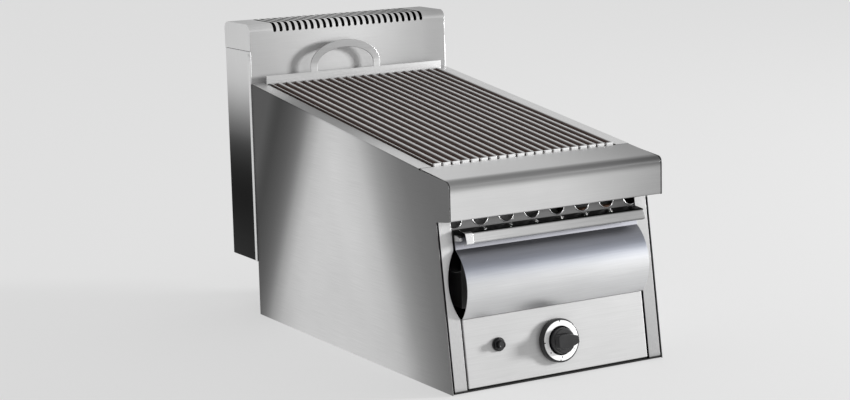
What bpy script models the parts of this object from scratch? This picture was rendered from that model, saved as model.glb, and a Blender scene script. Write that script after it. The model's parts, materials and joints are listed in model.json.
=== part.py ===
"""Countertop gas charbroiler with a sloping grate, a water tray and a rear flue.

Metres, +Z up. The front faces -Y and +X is to the right of someone facing it. The origin is at the
middle of the flat base. Each object is one piece of the real appliance.
"""
import math

import bmesh
import bpy
from mathutils import Vector

# Overall sizes
BODY_WIDTH = 0.400
BODY_DEPTH = 0.670
FRONT_HEIGHT = 0.332      # worktop at its front edge
BACK_HEIGHT = 0.418       # worktop at its back edge
SKIN = 0.0015             # outer sheet
LINER = 0.0012            # inner sheet
GAP = 0.0003              # clearance between pieces that touch
EDGE_CUT = 0.002          # chamfer on the turned plastic pieces

# Sloping front and nose
NOSE_FACE = 0.0604        # height of the nose's upright face
NOSE_DEPTH = 0.090        # worktop strip in front of the grate
NOSE_RADIUS = 0.010
NOSE_RETURN = 0.012       # flanges turned in along the nose's edges
NOSE_SIDE_GAP = 0.0015
SETBACK = 0.040           # how far the sloping front leans back at the top of its posts
POST_DROP = 0.006         # posts' top below the nose's lower edge
EDGE_WIDTH = 0.0265       # posts and worktop flanges, from the body's side inwards
POST_GAP = 0.003          # slit between a side panel and its post
POST_FOOT = 0.003
POST_RETURN = 0.015
RECESS_DEPTH = 0.015      # curved recess in each post beside the tray front

# Control panel, measured up the sloping front
PANEL_GAP = 0.0035
PANEL_LOW = 0.006
PANEL_HIGH = 0.1143
PANEL_RETURN = 0.014
KNOB_HEIGHT = 0.058
IGNITER_HEIGHT = 0.0675
IGNITER_INSET = 0.060     # from the panel's left edge

# Knob, dial and gas valve
BEZEL_RADIUS = 0.035
BEZEL_THICKNESS = 0.0102
BEZEL_RECESS_RADIUS = 0.0235
BEZEL_FLOOR = 0.0042
DIAL_RADIUS = 0.032
DIAL_THICKNESS = 0.001
KNOB_RADIUS = 0.0215
KNOB_START = 0.0080
KNOB_SKIRT = 0.0215       # height of the round skirt's top above the panel
KNOB_EDGE = 0.003         # flat end inside the skirt's radius
KNOB_DRAFT = 0.0015       # skirt's taper
KNOB_TOP = 0.031
KNOB_TRAVEL = 0.003
GRIP_BASE = 0.006         # grip's lower side above the knob's
GRIP_WIDTH = 0.026
GRIP_BACK = 0.0185        # grip's blunt end from the axis
GRIP_NECK = 0.004         # where the grip starts to narrow
BEAK_REACH = 0.0225
BEAK_WIDTH = 0.0125
STEM_RADIUS = 0.004
STEM_FLAT = 0.0026        # distance of the stem's flat from its axis
STEM_LENGTH = 0.024       # part of the stem in front of the panel
VALVE_SIZE = 0.034
VALVE_DEPTH = 0.042
VALVE_COLLAR_RADIUS = 0.011
VALVE_SETBACK = 0.016     # valve's face behind the panel's face
STEM_SOCKET = 0.012

# Igniter
NUT_RADIUS = 0.011
NUT_THICKNESS = 0.006
BUTTON_RADIUS = 0.006
BUTTON_PROUD = 0.013
BUTTON_DEPTH = 0.012
BUTTON_EDGE = 0.001
PIEZO_RADIUS = 0.009
PIEZO_LENGTH = 0.052
PIEZO_SOCKET = 0.020

# Air plate and tray front, measured down from the posts' top or along the sloping front
AIR_HOLE_RADIUS = 0.0145
AIR_HOLE_PITCH = 0.0476
AIR_PLATE_SETBACK = 0.002
AIR_PLATE_HEM = 0.0155    # plate's lower edge below the posts' top
AIR_PLATE_HEIGHT = 0.035
AIR_HOLE_RISE = 0.017     # hole centres above the plate's lower edge
HANDLE_RISE = 0.0310      # handle's height
HANDLE_REACH = 0.0235     # handle's face in front of the posts
HANDLE_SHEET = 0.0012
HANDLE_APRON_DROP = 0.0055
HANDLE_FACE = 0.0150
HANDLE_RADIUS = 0.005
HANDLE_LIP = 0.010
HANDLE_LIP_DROP = 0.001
HANDLE_SLANT = 0.003      # how much further out the face's lower edge is
HANDLE_TOP_GAP = 0.0005
HANDLE_INSET_LEFT = 0.0075
BRACKET_WIDTH = 0.005
BRACKET_FOOT = 0.004      # bracket above the handle's lower edge
BRACKET_INSET = 0.008     # and behind its face
BRACKET_SHOULDER = 0.006
SHIELD_BULGE = 0.024
SHIELD_FLANGE = 0.0185
TRAY_SIDE_GAP = 0.002
TRAY_FACE_GAP = 0.001     # tray front in front of the posts
TRAY_PANEL_GAP = 0.0012   # tray front above the control panel

# Water tray and its runners
TRAY_HALF_INSET = 0.042   # tray's wall inside the body's side
TRAY_RIM = 0.012
TRAY_BACK_GAP = 0.060
TRAY_CLEARANCE = 0.012    # tray's floor above the control panel's top
RUNNER_START = 0.075
RUNNER_LEDGE = 0.033
RUNNER_LEG = 0.016
RUNNER_BACK_GAP = 0.050
TRAY_FRONT_DROP = 0.001   # tray's front wall below the top of the flange it is fixed to
TRAY_FRONT_OVERLAP = 0.004

# Firebox and burner
FIREBOX_FRONT = 0.100     # liner behind the front edge
FIREBOX_BACK_GAP = 0.048
FIREBOX_INSET = 0.0226    # liner's outer face inside the body's side
FIREBOX_DEPTH = 0.045     # liner's lower edge below the burner's axis
FIREBOX_TRAY_GAP = 0.0205
BURNER_DROP = 0.0216      # burner's axis below the nose's lower edge
BURNER_RADIUS = 0.013
BURNER_SPREAD = 0.075     # burner leg to the middle
BURNER_START = 0.170
BURNER_BACK_GAP = 0.160
MIXER_RADIUS = 0.016
INJECTOR_RADIUS = 0.008
INJECTOR_START = 0.074
RAIL_THICKNESS = 0.003
RAIL_WIDTH = 0.022
BAFFLE_HALF_WIDTH = 0.034
BAFFLE_HEIGHT = 0.053
PIPE_RADIUS = 0.004
PIPE_BEND = 0.008
PIPE_INSET = 0.016        # feed pipe's upright run to the body's side
PIPE_LANE = 0.040         # feed pipe's upper run in front of the firebox
PILOT_RADIUS = 0.005
PROBE_RADIUS = 0.002
PROBE_SPACING = 0.009

# Grate
BAR_WIDTH = 0.0130
BAR_PITCH = 0.0172
BAR_HEIGHT = 0.0125
BAR_PROUD = 0.003         # bars above the worktop
BAR_SLIT = 0.0004         # between the lips of two bars
BAR_START_GAP = 0.0025
GRATE_SIDE_GAP = 0.0015
CROSSBAR = 0.006
CROSSBAR_COUNT = 3
REST_WIDTH = 0.016
FLANGE_DROP = 0.022
REAR_RAIL = 0.0165        # worktop strip behind the grate
BACK_PLATE = 0.002
BACK_PLATE_RISE = 0.016
BACK_PLATE_OVERLAP = 0.0055
ARCH_OFFSET = -0.020      # lifting handle left of the middle
ARCH_HALF_WIDTH = 0.0707
ARCH_RISE = 0.0535
ARCH_LEG = 0.010
ARCH_BAND = 0.014

# Flue
FLUE_DEPTH = 0.103
FLUE_LOW = 0.097
FLUE_HIGH = 0.522
CAP_HEIGHT = 0.047
CAP_RADIUS = 0.014
SEAM = 0.0008
SLOT_WIDTH = 0.0062
SLOT_PITCH = 0.0125
SLOT_MARGIN = 0.043       # first slot's side to the flue's side
SLOT_DROP = 0.016
SLOT_BACK_GAP = 0.016
WINDOW_LOW = 0.118        # flue opening's lower edge below the worktop's back edge
WINDOW_HIGH = 0.033
FLUE_FLANGE_REACH = 0.008
SCREW_RADIUS = 0.003
SCREW_HEAD = 0.0018
SCREW_INSET = 0.008

# Base and gas inlet
BASE_RECESS = 0.018
BASE_EDGE = 0.015
INLET_HEIGHT = 0.045
INLET_INSET = 0.080       # inlet to the body's left side
INLET_RADIUS = 0.0105
INLET_INSIDE = 0.020      # fitting's thread on each side of the back panel
INLET_OUTSIDE = 0.028
INLET_PIPE_GAP = 0.030
HEXAGON_RADIUS = 0.0152
HEXAGON_START = 0.012     # hexagon inside the back panel
HEXAGON_END = 0.0295

# Derived places
HALF = BODY_WIDTH / 2
FRONT = -BODY_DEPTH / 2
BACK = BODY_DEPTH / 2
INNER = HALF - SKIN                        # side panels' inner faces
OPENING = HALF - EDGE_WIDTH                # half of the clear width
TILT = math.atan2(BACK_HEIGHT - FRONT_HEIGHT, BODY_DEPTH)
SLOPE_LENGTH = math.hypot(BACK_HEIGHT - FRONT_HEIGHT, BODY_DEPTH)
NOSE_BOTTOM = FRONT_HEIGHT - NOSE_FACE
POST_TOP = NOSE_BOTTOM - POST_DROP
LEAN = math.atan2(SETBACK, POST_TOP)
POST_LENGTH = math.hypot(SETBACK, POST_TOP)
PANEL_HALF = OPENING - PANEL_GAP
AIR_PLATE_LOW = POST_LENGTH - AIR_PLATE_HEM
HANDLE_HIGH = AIR_PLATE_LOW - HANDLE_TOP_GAP
SHIELD_LOW = PANEL_HIGH + TRAY_PANEL_GAP
SHIELD_HIGH = AIR_PLATE_LOW - HANDLE_RISE
BURNER_HEIGHT = NOSE_BOTTOM - BURNER_DROP
FIREBOX_LOW = BURNER_HEIGHT - FIREBOX_DEPTH
TRAY_TOP = FIREBOX_LOW - FIREBOX_TRAY_GAP
TRAY_FLOOR = PANEL_HIGH * math.cos(LEAN) + TRAY_CLEARANCE
TRAY_HALF = HALF - TRAY_HALF_INSET
FLUE_BACK = BACK + FLUE_DEPTH
SEAM_HEIGHT = FLUE_HIGH - CAP_HEIGHT
ROUND_STEPS = 28
FINE_STEPS = 40
SMOOTH_ANGLE = math.radians(30)

STEEL = ("stainless", (0.62, 0.63, 0.65), 0.30, 1.0)
BRIGHT = ("polished_stainless", (0.72, 0.73, 0.75), 0.20, 1.0)
DARK_STEEL = ("heated_steel", (0.28, 0.25, 0.23), 0.45, 1.0)
BLACK = ("black_plastic", (0.02, 0.02, 0.02), 0.35, 0.0)
SILVER = ("dial_silver", (0.80, 0.80, 0.80), 0.30, 1.0)
BRASS = ("brass", (0.70, 0.50, 0.22), 0.30, 1.0)
COPPER = ("copper_pipe", (0.72, 0.42, 0.28), 0.30, 1.0)


def clear_scene():
    for item in list(bpy.data.objects):
        bpy.data.objects.remove(item, do_unlink=True)


def finish_of(spec):
    """The material with this colour, roughness and metallic value."""
    name, colour, roughness, metallic = spec
    found = bpy.data.materials.get(name)
    if found:
        return found
    made = bpy.data.materials.new(name)
    made.use_nodes = True
    shader = made.node_tree.nodes["Principled BSDF"]
    shader.inputs["Base Color"].default_value = (*colour, 1.0)
    shader.inputs["Roughness"].default_value = roughness
    shader.inputs["Metallic"].default_value = metallic
    return made


def frame_empty(name, location, lean):
    """A tilted frame that pieces are placed in."""
    frame = bpy.data.objects.new(name, None)
    bpy.context.scene.collection.objects.link(frame)
    frame.location = location
    frame.rotation_euler = (lean, 0, 0)
    return frame


def add(name, mesh, finish, parent=None, location=(0, 0, 0), rotation=(0, 0, 0)):
    piece = bpy.data.objects.new(name, mesh)
    bpy.context.scene.collection.objects.link(piece)
    piece.parent = parent
    piece.location = location
    piece.rotation_euler = rotation
    if finish:
        mesh.materials.append(finish_of(finish))
    return piece


def boolean(target, other, operation):
    """Cut or join with another object, which is then only a helper."""
    other.hide_render = True
    other.display_type = "WIRE"
    step = target.modifiers.new(other.name, "BOOLEAN")
    step.operation = operation
    step.solver = "EXACT"
    step.object = other
    return target


def prisms(name, outlines, low, high, axis):
    """A mesh of straight bodies: each closed outline, drawn out along one axis."""
    place = {
        "X": lambda a, b, c: (c, a, b),
        "Y": lambda a, b, c: (a, c, b),
        "Z": lambda a, b, c: (a, b, c),
    }[axis]
    shape = bmesh.new()
    for outline in outlines:
        face = shape.faces.new([shape.verts.new(place(a, b, low)) for a, b in outline])
        drawn = bmesh.ops.extrude_face_region(shape, geom=[face])
        moved = [item for item in drawn["geom"] if isinstance(item, bmesh.types.BMVert)]
        bmesh.ops.translate(shape, verts=moved, vec=Vector(place(0, 0, high - low)))
    bmesh.ops.recalc_face_normals(shape, faces=shape.faces)
    mesh = bpy.data.meshes.new(name)
    shape.to_mesh(mesh)
    shape.free()
    mesh.shade_smooth()
    mesh.set_sharp_from_angle(angle=SMOOTH_ANGLE)
    return mesh


def prism(name, outline, low, high, axis, finish, **where):
    return add(name, prisms(name, [outline], low, high, axis), finish, **where)


def box(name, low, high, finish, **where):
    corners = [(low[0], low[1]), (high[0], low[1]), (high[0], high[1]), (low[0], high[1])]
    return prism(name, corners, low[2], high[2], "Z", finish, **where)


def turned(name, profile, finish, steps=ROUND_STEPS, **where):
    """A round body about its own Z. The profile runs from its top centre down to its bottom centre."""
    mesh = bpy.data.meshes.new(name)
    points = [(radius, 0, height) for radius, height in profile]
    mesh.from_pydata(points, [(i, i + 1) for i in range(len(points) - 1)], [])
    piece = add(name, mesh, finish, **where)
    spin = piece.modifiers.new("turn", "SCREW")
    spin.steps = steps
    spin.render_steps = steps
    spin.use_merge_vertices = True
    spin.merge_threshold = 0.00002
    spin.use_smooth_shade = True
    return piece


def rod(name, radius, low, high, finish, **where):
    return turned(name, [(0, high), (radius, high), (radius, low), (0, low)], finish, **where)


def tube_along(name, points, radius, finish, bends, parent=None):
    """A round pipe through these corners, with rounded bends."""
    path = rounded([Vector(point) for point in points], bends, 5)
    curve = bpy.data.curves.new(name, "CURVE")
    curve.dimensions = "3D"
    curve.bevel_depth = radius
    curve.bevel_resolution = 3
    curve.use_fill_caps = True
    line = curve.splines.new("POLY")
    line.points.add(len(path) - 1)
    for target, point in zip(line.points, path):
        target.co = (*point, 1)
    return add(name, curve, finish, parent=parent)


def arc(centre, radius, start, end, steps):
    """Points on a circle, from one angle to another, both in radians."""
    angles = [start + (end - start) * i / steps for i in range(steps + 1)]
    return [(centre[0] + radius * math.cos(a), centre[1] + radius * math.sin(a)) for a in angles]


def rounded(points, radius, steps=4):
    """An open path with its inner corners rounded."""
    path = [Vector(point) for point in points]
    result = [path[0]]
    for before, corner, after in zip(path, path[1:], path[2:]):
        back = (before - corner).normalized()
        on = (after - corner).normalized()
        half = back.angle(on) / 2
        centre = corner + (back + on).normalized() * radius / math.sin(half)
        start = corner + back * radius / math.tan(half) - centre
        end = corner + on * radius / math.tan(half) - centre
        sweep = math.pi - 2 * half
        for i in range(steps + 1):
            share = i / steps
            spot = start * math.sin((1 - share) * sweep) + end * math.sin(share * sweep)
            result.append(centre + spot / math.sin(sweep))
    result.append(path[-1])
    return result


def sheet(path, thickness):
    """Closed outline of a bent sheet, whose other face lies to the left of the path."""
    points = [Vector(point) for point in path]
    sides = []
    for a, b in zip(points, points[1:]):
        along = (b - a).normalized()
        sides.append(Vector((-along.y, along.x)))
    moved = [points[0] + sides[0] * thickness]
    for first, second, point in zip(sides, sides[1:], points[1:]):
        moved.append(point + (first + second) * thickness / (1 + first.dot(second)))
    moved.append(points[-1] + sides[-1] * thickness)
    return points + moved[::-1]


def worktop_height(y):
    """Height of the worktop's upper face at this depth."""
    return FRONT_HEIGHT + (y - FRONT) * math.tan(TILT)


def front_depth(height, proud=0.0):
    """Depth of the sloping front at this height, for a point standing proud of it."""
    return FRONT + height * math.tan(LEAN) - proud / math.cos(LEAN)


def both_sides(make):
    """Make a left and a right piece."""
    for label, side in (("left", -1), ("right", 1)):
        make(label, side)


def span(side, near, far):
    """The two x values of a piece on one side, in rising order."""
    return sorted((side * near, side * far))


def side_panels():
    corner = rounded([(BACK, BACK_HEIGHT), (FRONT, FRONT_HEIGHT), (FRONT, NOSE_BOTTOM)], NOSE_RADIUS)
    outline = [(FRONT, 0), (BACK, 0), *corner, (FRONT + SETBACK, POST_TOP)]

    def panel(label, side):
        prism(f"side_panel_{label}", outline, *span(side, INNER, HALF), "X", STEEL)

    both_sides(panel)


def base_and_back():
    wide = INNER - GAP
    low_y = FRONT + BASE_RECESS
    high_y = BACK - SKIN - GAP
    pan = box("base_pan", (-wide, low_y, 0), (wide, high_y, BASE_EDGE), STEEL)
    hollow = box(
        "base_pan_hollow",
        (-wide + SKIN, low_y + SKIN, SKIN),
        (wide - SKIN, high_y - SKIN, BASE_EDGE + SKIN),
        None,
    )
    boolean(pan, hollow, "DIFFERENCE")
    back_high = BACK_HEIGHT - WINDOW_LOW
    panel = box("back_panel", (-wide, BACK - SKIN, GAP), (wide, BACK, back_high), STEEL)
    inlet_x = -HALF + INLET_INSET
    hole = rod("inlet_hole", INLET_RADIUS + GAP, -SKIN, SKIN, None, location=(inlet_x, BACK, INLET_HEIGHT),
               rotation=(math.pi / 2, 0, 0))
    boolean(panel, hole, "DIFFERENCE")


def front_posts(front):
    low, high = SHIELD_LOW, SHIELD_HIGH
    half = (high - low) / 2
    radius = (half ** 2 + RECESS_DEPTH ** 2) / (2 * RECESS_DEPTH)
    centre = OPENING + RECESS_DEPTH - radius
    swing = math.asin(half / radius)
    outer = INNER - POST_GAP
    recess = arc((centre, (low + high) / 2), radius, -swing, swing, 12)
    face = [(outer, POST_FOOT), (outer, POST_LENGTH), (OPENING, POST_LENGTH), *recess[::-1]]
    face.append((OPENING, POST_FOOT))

    def post(label, side):
        outline = [(side * x, s) for x, s in face]
        piece = prism(f"front_post_{label}", outline, 0, SKIN, "Y", BRIGHT, parent=front)
        x_low, x_high = span(side, outer - SKIN, outer)
        leg = box(
            f"post_return_{label}",
            (x_low, SKIN / 2, POST_FOOT),
            (x_high, POST_RETURN, POST_LENGTH),
            None,
            parent=front,
        )
        boolean(piece, leg, "UNION")

    both_sides(post)


def nose():
    seam_y = FRONT + NOSE_DEPTH * math.cos(TILT)
    seam_z = FRONT_HEIGHT + NOSE_DEPTH * math.sin(TILT)
    down = Vector((math.sin(TILT), -math.cos(TILT))) * NOSE_RETURN
    crease = SKIN * 1.6
    edge = rounded([(seam_y + down.x, seam_z + down.y), (seam_y, seam_z), (FRONT, FRONT_HEIGHT)], crease, 2)
    foot = [(FRONT, FRONT_HEIGHT), (FRONT, NOSE_BOTTOM), (FRONT + NOSE_RETURN, NOSE_BOTTOM)]
    lip = rounded(foot, crease, 2)
    bend = rounded([(seam_y, seam_z), (FRONT, FRONT_HEIGHT), (FRONT, NOSE_BOTTOM)], NOSE_RADIUS, 6)
    path = edge[:-1] + bend[1:-1] + lip[1:]
    wide = INNER - NOSE_SIDE_GAP
    prism("nose_cap", sheet(path, SKIN), -wide, wide, "X", BRIGHT)


def air_plate(front):
    """Plate with a row of round air holes, set behind the posts under the nose."""
    wide = INNER - POST_GAP - SKIN - PANEL_GAP / 2
    top = AIR_PLATE_LOW + AIR_PLATE_HEIGHT
    plate = box(
        "air_plate",
        (-wide, AIR_PLATE_SETBACK, AIR_PLATE_LOW),
        (wide, AIR_PLATE_SETBACK + SKIN, top),
        BRIGHT,
        parent=front,
    )
    count = int(2 * wide / AIR_HOLE_PITCH)
    for i in range(count):
        x = (i - (count - 1) / 2) * AIR_HOLE_PITCH
        spot = (x, AIR_PLATE_SETBACK, AIR_PLATE_LOW + AIR_HOLE_RISE)
        hole = rod(f"air_hole_{i}", AIR_HOLE_RADIUS, -SKIN * 4, SKIN * 2, None, parent=front, location=spot,
                   rotation=(math.pi / 2, 0, 0))
        boolean(plate, hole, "DIFFERENCE")


def worktop(top):
    inner = OPENING + GAP
    outer = INNER - GAP

    def flange(label, side):
        path = [(side * outer, 0), (side * inner, 0), (side * inner, -FLANGE_DROP)]
        if side < 0:
            path = path[::-1]
        end = SLOPE_LENGTH - FLANGE_DROP * math.tan(TILT) - GAP
        prism(f"worktop_flange_{label}", sheet(path, SKIN), NOSE_DEPTH + GAP, end, "Y", BRIGHT, parent=top)

    both_sides(flange)
    window_top = BACK_HEIGHT - WINDOW_HIGH
    strip_y = BACK - REAR_RAIL
    path = [(BACK, window_top), (BACK, BACK_HEIGHT), (strip_y, worktop_height(strip_y))]
    prism("rear_rail", sheet(path, SKIN), -OPENING, OPENING, "X", BRIGHT)


def firebox():
    front_y = FRONT + FIREBOX_FRONT
    back_y = BACK - FIREBOX_BACK_GAP
    far = HALF - FIREBOX_INSET
    under = BAR_HEIGHT - BAR_PROUD + 2 * LINER + 2 * GAP
    outline = [
        (front_y, FIREBOX_LOW),
        (back_y, FIREBOX_LOW),
        (back_y, worktop_height(back_y) - 2 * SKIN),
        (front_y, worktop_height(front_y) - 2 * SKIN),
    ]

    def side_liner(label, side):
        prism(f"firebox_side_{label}", outline, *span(side, far - LINER, far), "X", STEEL)

    both_sides(side_liner)
    wide = OPENING
    front_top = worktop_height(front_y) - under - SKIN
    wall = box("firebox_front", (-wide, front_y, FIREBOX_LOW), (wide, front_y + LINER, front_top), STEEL)
    hole = rod("injector_hole", INJECTOR_RADIUS * 1.5, -LINER * 3, LINER * 3, None,
               location=(BURNER_SPREAD, front_y, BURNER_HEIGHT), rotation=(math.pi / 2, 0, 0))
    boolean(wall, hole, "DIFFERENCE")
    back_top = BACK_HEIGHT - WINDOW_LOW + BURNER_RADIUS * 2
    box("firebox_rear", (-wide, back_y - LINER, FIREBOX_LOW), (wide, back_y, back_top), STEEL)


def burner_group():
    start_y = FRONT + BURNER_START
    turn_y = BACK - BURNER_BACK_GAP
    z = BURNER_HEIGHT
    half_turn = arc((0, turn_y), BURNER_SPREAD, 0, math.pi, 16)
    route = [(BURNER_SPREAD, start_y), *half_turn, (-BURNER_SPREAD, start_y)]
    curve = bpy.data.curves.new("burner", "CURVE")
    curve.dimensions = "3D"
    curve.bevel_depth = BURNER_RADIUS
    curve.bevel_resolution = 4
    curve.use_fill_caps = True
    line = curve.splines.new("POLY")
    line.points.add(len(route) - 1)
    for target, (x, y) in zip(line.points, route):
        target.co = (x, y, z, 1)
    add("burner", curve, DARK_STEEL)

    forward = (math.pi / 2, 0, 0)
    mixer_length = BURNER_START - FIREBOX_FRONT - LINER * 3
    bell = [(0, 0), (MIXER_RADIUS, 0), (MIXER_RADIUS, -MIXER_RADIUS), (BURNER_RADIUS, -2 * MIXER_RADIUS),
            (BURNER_RADIUS, -mixer_length), (0, -mixer_length)]
    turned("mixer_tube", bell, DARK_STEEL, rotation=forward,
           location=(BURNER_SPREAD, start_y - GAP - mixer_length, z))
    injector_length = FIREBOX_FRONT - INJECTOR_START + LINER * 2
    rod("injector", INJECTOR_RADIUS, -injector_length, 0, BRASS, steps=6, rotation=forward,
        location=(BURNER_SPREAD, FRONT + INJECTOR_START, z))

    rail_top = z - BURNER_RADIUS - GAP
    rail_half = HALF - FIREBOX_INSET - LINER - GAP
    for label, y in (("front", start_y + RAIL_WIDTH), ("rear", turn_y - RAIL_WIDTH)):
        box(
            f"burner_rail_{label}",
            (-rail_half, y, rail_top - RAIL_THICKNESS),
            (rail_half, y + RAIL_WIDTH, rail_top),
            STEEL,
        )

    def baffle(label, side):
        x = side * BURNER_SPREAD
        foot = rail_top + GAP + SKIN
        path = [(x + BAFFLE_HALF_WIDTH, foot), (x, foot + BAFFLE_HEIGHT), (x - BAFFLE_HALF_WIDTH, foot)]
        prism(f"flame_baffle_{label}", sheet(path, SKIN), start_y + GAP, turn_y, "Y", DARK_STEEL)

    both_sides(baffle)


def pilot_group():
    """Pilot burner on its bracket between the burner's legs, with the flame probe and the spark rod."""
    y = FRONT + BURNER_START + RAIL_WIDTH * 1.5
    low = BURNER_HEIGHT - BURNER_RADIUS
    high = BURNER_HEIGHT + BURNER_RADIUS
    bracket = box("pilot_burner", (-PROBE_SPACING * 2, y - PILOT_RADIUS * 1.5, low),
                  (PROBE_SPACING * 2, y + PILOT_RADIUS * 1.5, low + SKIN), BRASS)
    boolean(bracket, rod("pilot_post", PILOT_RADIUS, low + SKIN / 2, high, None, location=(0, y, 0)), "UNION")
    for name, x in (("flame_probe", PROBE_SPACING * 1.2), ("spark_rod", -PROBE_SPACING * 1.2)):
        rod(name, PROBE_RADIUS, low + SKIN + GAP, high + PROBE_SPACING, STEEL, steps=12, location=(x, y, 0))


def control_panel(front, igniter_x):
    outer_low = (-PANEL_HALF, 0, PANEL_LOW)
    outer_high = (PANEL_HALF, PANEL_RETURN, PANEL_HIGH)
    panel = box("control_panel", outer_low, outer_high, BRIGHT, parent=front)
    hollow = box(
        "panel_hollow",
        (-PANEL_HALF + SKIN, SKIN, PANEL_LOW + SKIN),
        (PANEL_HALF - SKIN, PANEL_RETURN + SKIN, PANEL_HIGH - SKIN),
        None,
        parent=front,
    )
    boolean(panel, hollow, "DIFFERENCE")
    turn = (math.pi / 2, 0, 0)
    stem_hole = rod("stem_hole", STEM_RADIUS * 1.5, -SKIN * 2, SKIN * 2, None, parent=front, rotation=turn,
                    location=(0, 0, KNOB_HEIGHT))
    boolean(panel, stem_hole, "DIFFERENCE")
    button_hole = rod("button_hole", BUTTON_RADIUS + GAP * 4, -SKIN * 2, SKIN * 2, None, parent=front,
                      rotation=turn, location=(igniter_x, 0, IGNITER_HEIGHT))
    boolean(panel, button_hole, "DIFFERENCE")


def knob_group(front):
    turn = (math.pi / 2, 0, 0)
    place = {"parent": front, "location": (0, 0, KNOB_HEIGHT), "rotation": turn}
    bezel = [
        (STEM_RADIUS * 1.5, BEZEL_FLOOR),
        (BEZEL_RECESS_RADIUS, BEZEL_FLOOR),
        (BEZEL_RECESS_RADIUS, BEZEL_THICKNESS),
        (BEZEL_RADIUS - EDGE_CUT, BEZEL_THICKNESS),
        (BEZEL_RADIUS, BEZEL_THICKNESS - EDGE_CUT),
        (BEZEL_RADIUS, GAP),
        (STEM_RADIUS * 1.5, GAP),
        (STEM_RADIUS * 1.5, BEZEL_FLOOR),
    ]
    turned("knob_bezel", bezel, BLACK, FINE_STEPS, **place)
    ring_low = BEZEL_THICKNESS + GAP
    ring_high = ring_low + DIAL_THICKNESS
    ring = [
        (BEZEL_RECESS_RADIUS, ring_high),
        (DIAL_RADIUS, ring_high),
        (DIAL_RADIUS, ring_low),
        (BEZEL_RECESS_RADIUS, ring_low),
        (BEZEL_RECESS_RADIUS, ring_high),
    ]
    turned("dial_ring", ring, SILVER, FINE_STEPS, **place)

    skirt = [
        (0, KNOB_SKIRT),
        (KNOB_RADIUS - KNOB_EDGE, KNOB_SKIRT),
        (KNOB_RADIUS - KNOB_DRAFT, KNOB_SKIRT - KNOB_DRAFT),
        (KNOB_RADIUS, KNOB_START),
        (0, KNOB_START),
    ]
    knob = turned("knob", skirt, BLACK, FINE_STEPS, **place)
    side = [(-GRIP_BACK, GRIP_WIDTH / 2), (GRIP_NECK, GRIP_WIDTH / 2), (BEAK_REACH, BEAK_WIDTH / 2)]
    plan = side + [(x, -y) for x, y in reversed(side)]
    grip = prism("knob_grip", plan, KNOB_START + GRIP_BASE, KNOB_TOP, "Z", None, **place)
    soften = grip.modifiers.new("soften", "BEVEL")
    soften.width = EDGE_CUT
    soften.segments = 2
    boolean(knob, grip, "UNION")
    bore_top = STEM_LENGTH + GAP
    bore = stem_shape("knob_bore", STEM_RADIUS + GAP, STEM_FLAT + GAP, 0, bore_top, None, place)
    boolean(knob, bore, "DIFFERENCE")
    stem_low = -VALVE_SETBACK - STEM_SOCKET + GAP
    stem_high = STEM_LENGTH - KNOB_TRAVEL - GAP
    stem_shape("valve_stem", STEM_RADIUS, STEM_FLAT, stem_low, stem_high, STEEL, place)

    valve_face = -VALVE_SETBACK
    body = box(
        "gas_valve",
        (-VALVE_SIZE / 2, -VALVE_SIZE / 2, valve_face - VALVE_DEPTH),
        (VALVE_SIZE / 2, VALVE_SIZE / 2, valve_face - STEM_SOCKET / 2),
        BRASS,
        **place,
    )
    collar = rod("valve_collar", VALVE_COLLAR_RADIUS, valve_face - STEM_SOCKET, valve_face, None, **place)
    boolean(body, collar, "UNION")
    socket = rod("stem_socket", STEM_RADIUS + GAP, valve_face - STEM_SOCKET, valve_face + GAP, None, **place)
    boolean(body, socket, "DIFFERENCE")


def stem_shape(name, radius, flat, low, high, finish, place):
    """Round stem with one flat, so that the knob turns it."""
    swing = math.acos(flat / radius)
    outline = arc((0, 0), radius, math.pi / 2 + swing, math.pi * 2.5 - swing, 20)
    return prism(name, outline, low, high, "Z", finish, **place)


def igniter_group(front, igniter_x):
    place = {"parent": front, "location": (igniter_x, 0, IGNITER_HEIGHT), "rotation": (math.pi / 2, 0, 0)}
    bore = BUTTON_RADIUS + GAP
    nut = [
        (bore, NUT_THICKNESS),
        (NUT_RADIUS - EDGE_CUT, NUT_THICKNESS),
        (NUT_RADIUS, NUT_THICKNESS - EDGE_CUT),
        (NUT_RADIUS, GAP),
        (bore, GAP),
        (bore, NUT_THICKNESS),
    ]
    turned("igniter_nut", nut, BLACK, **place)
    button = [
        (0, BUTTON_PROUD),
        (BUTTON_RADIUS - BUTTON_EDGE, BUTTON_PROUD),
        (BUTTON_RADIUS, BUTTON_PROUD - BUTTON_EDGE),
        (BUTTON_RADIUS, -BUTTON_DEPTH),
        (0, -BUTTON_DEPTH),
    ]
    turned("igniter_button", button, BLACK, **place)
    face = -SKIN - GAP
    body = rod("piezo_body", PIEZO_RADIUS, face - PIEZO_LENGTH, face, BLACK, **place)
    boolean(body, rod("piezo_socket", bore, face - PIEZO_SOCKET, face + GAP, None, **place), "DIFFERENCE")


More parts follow.
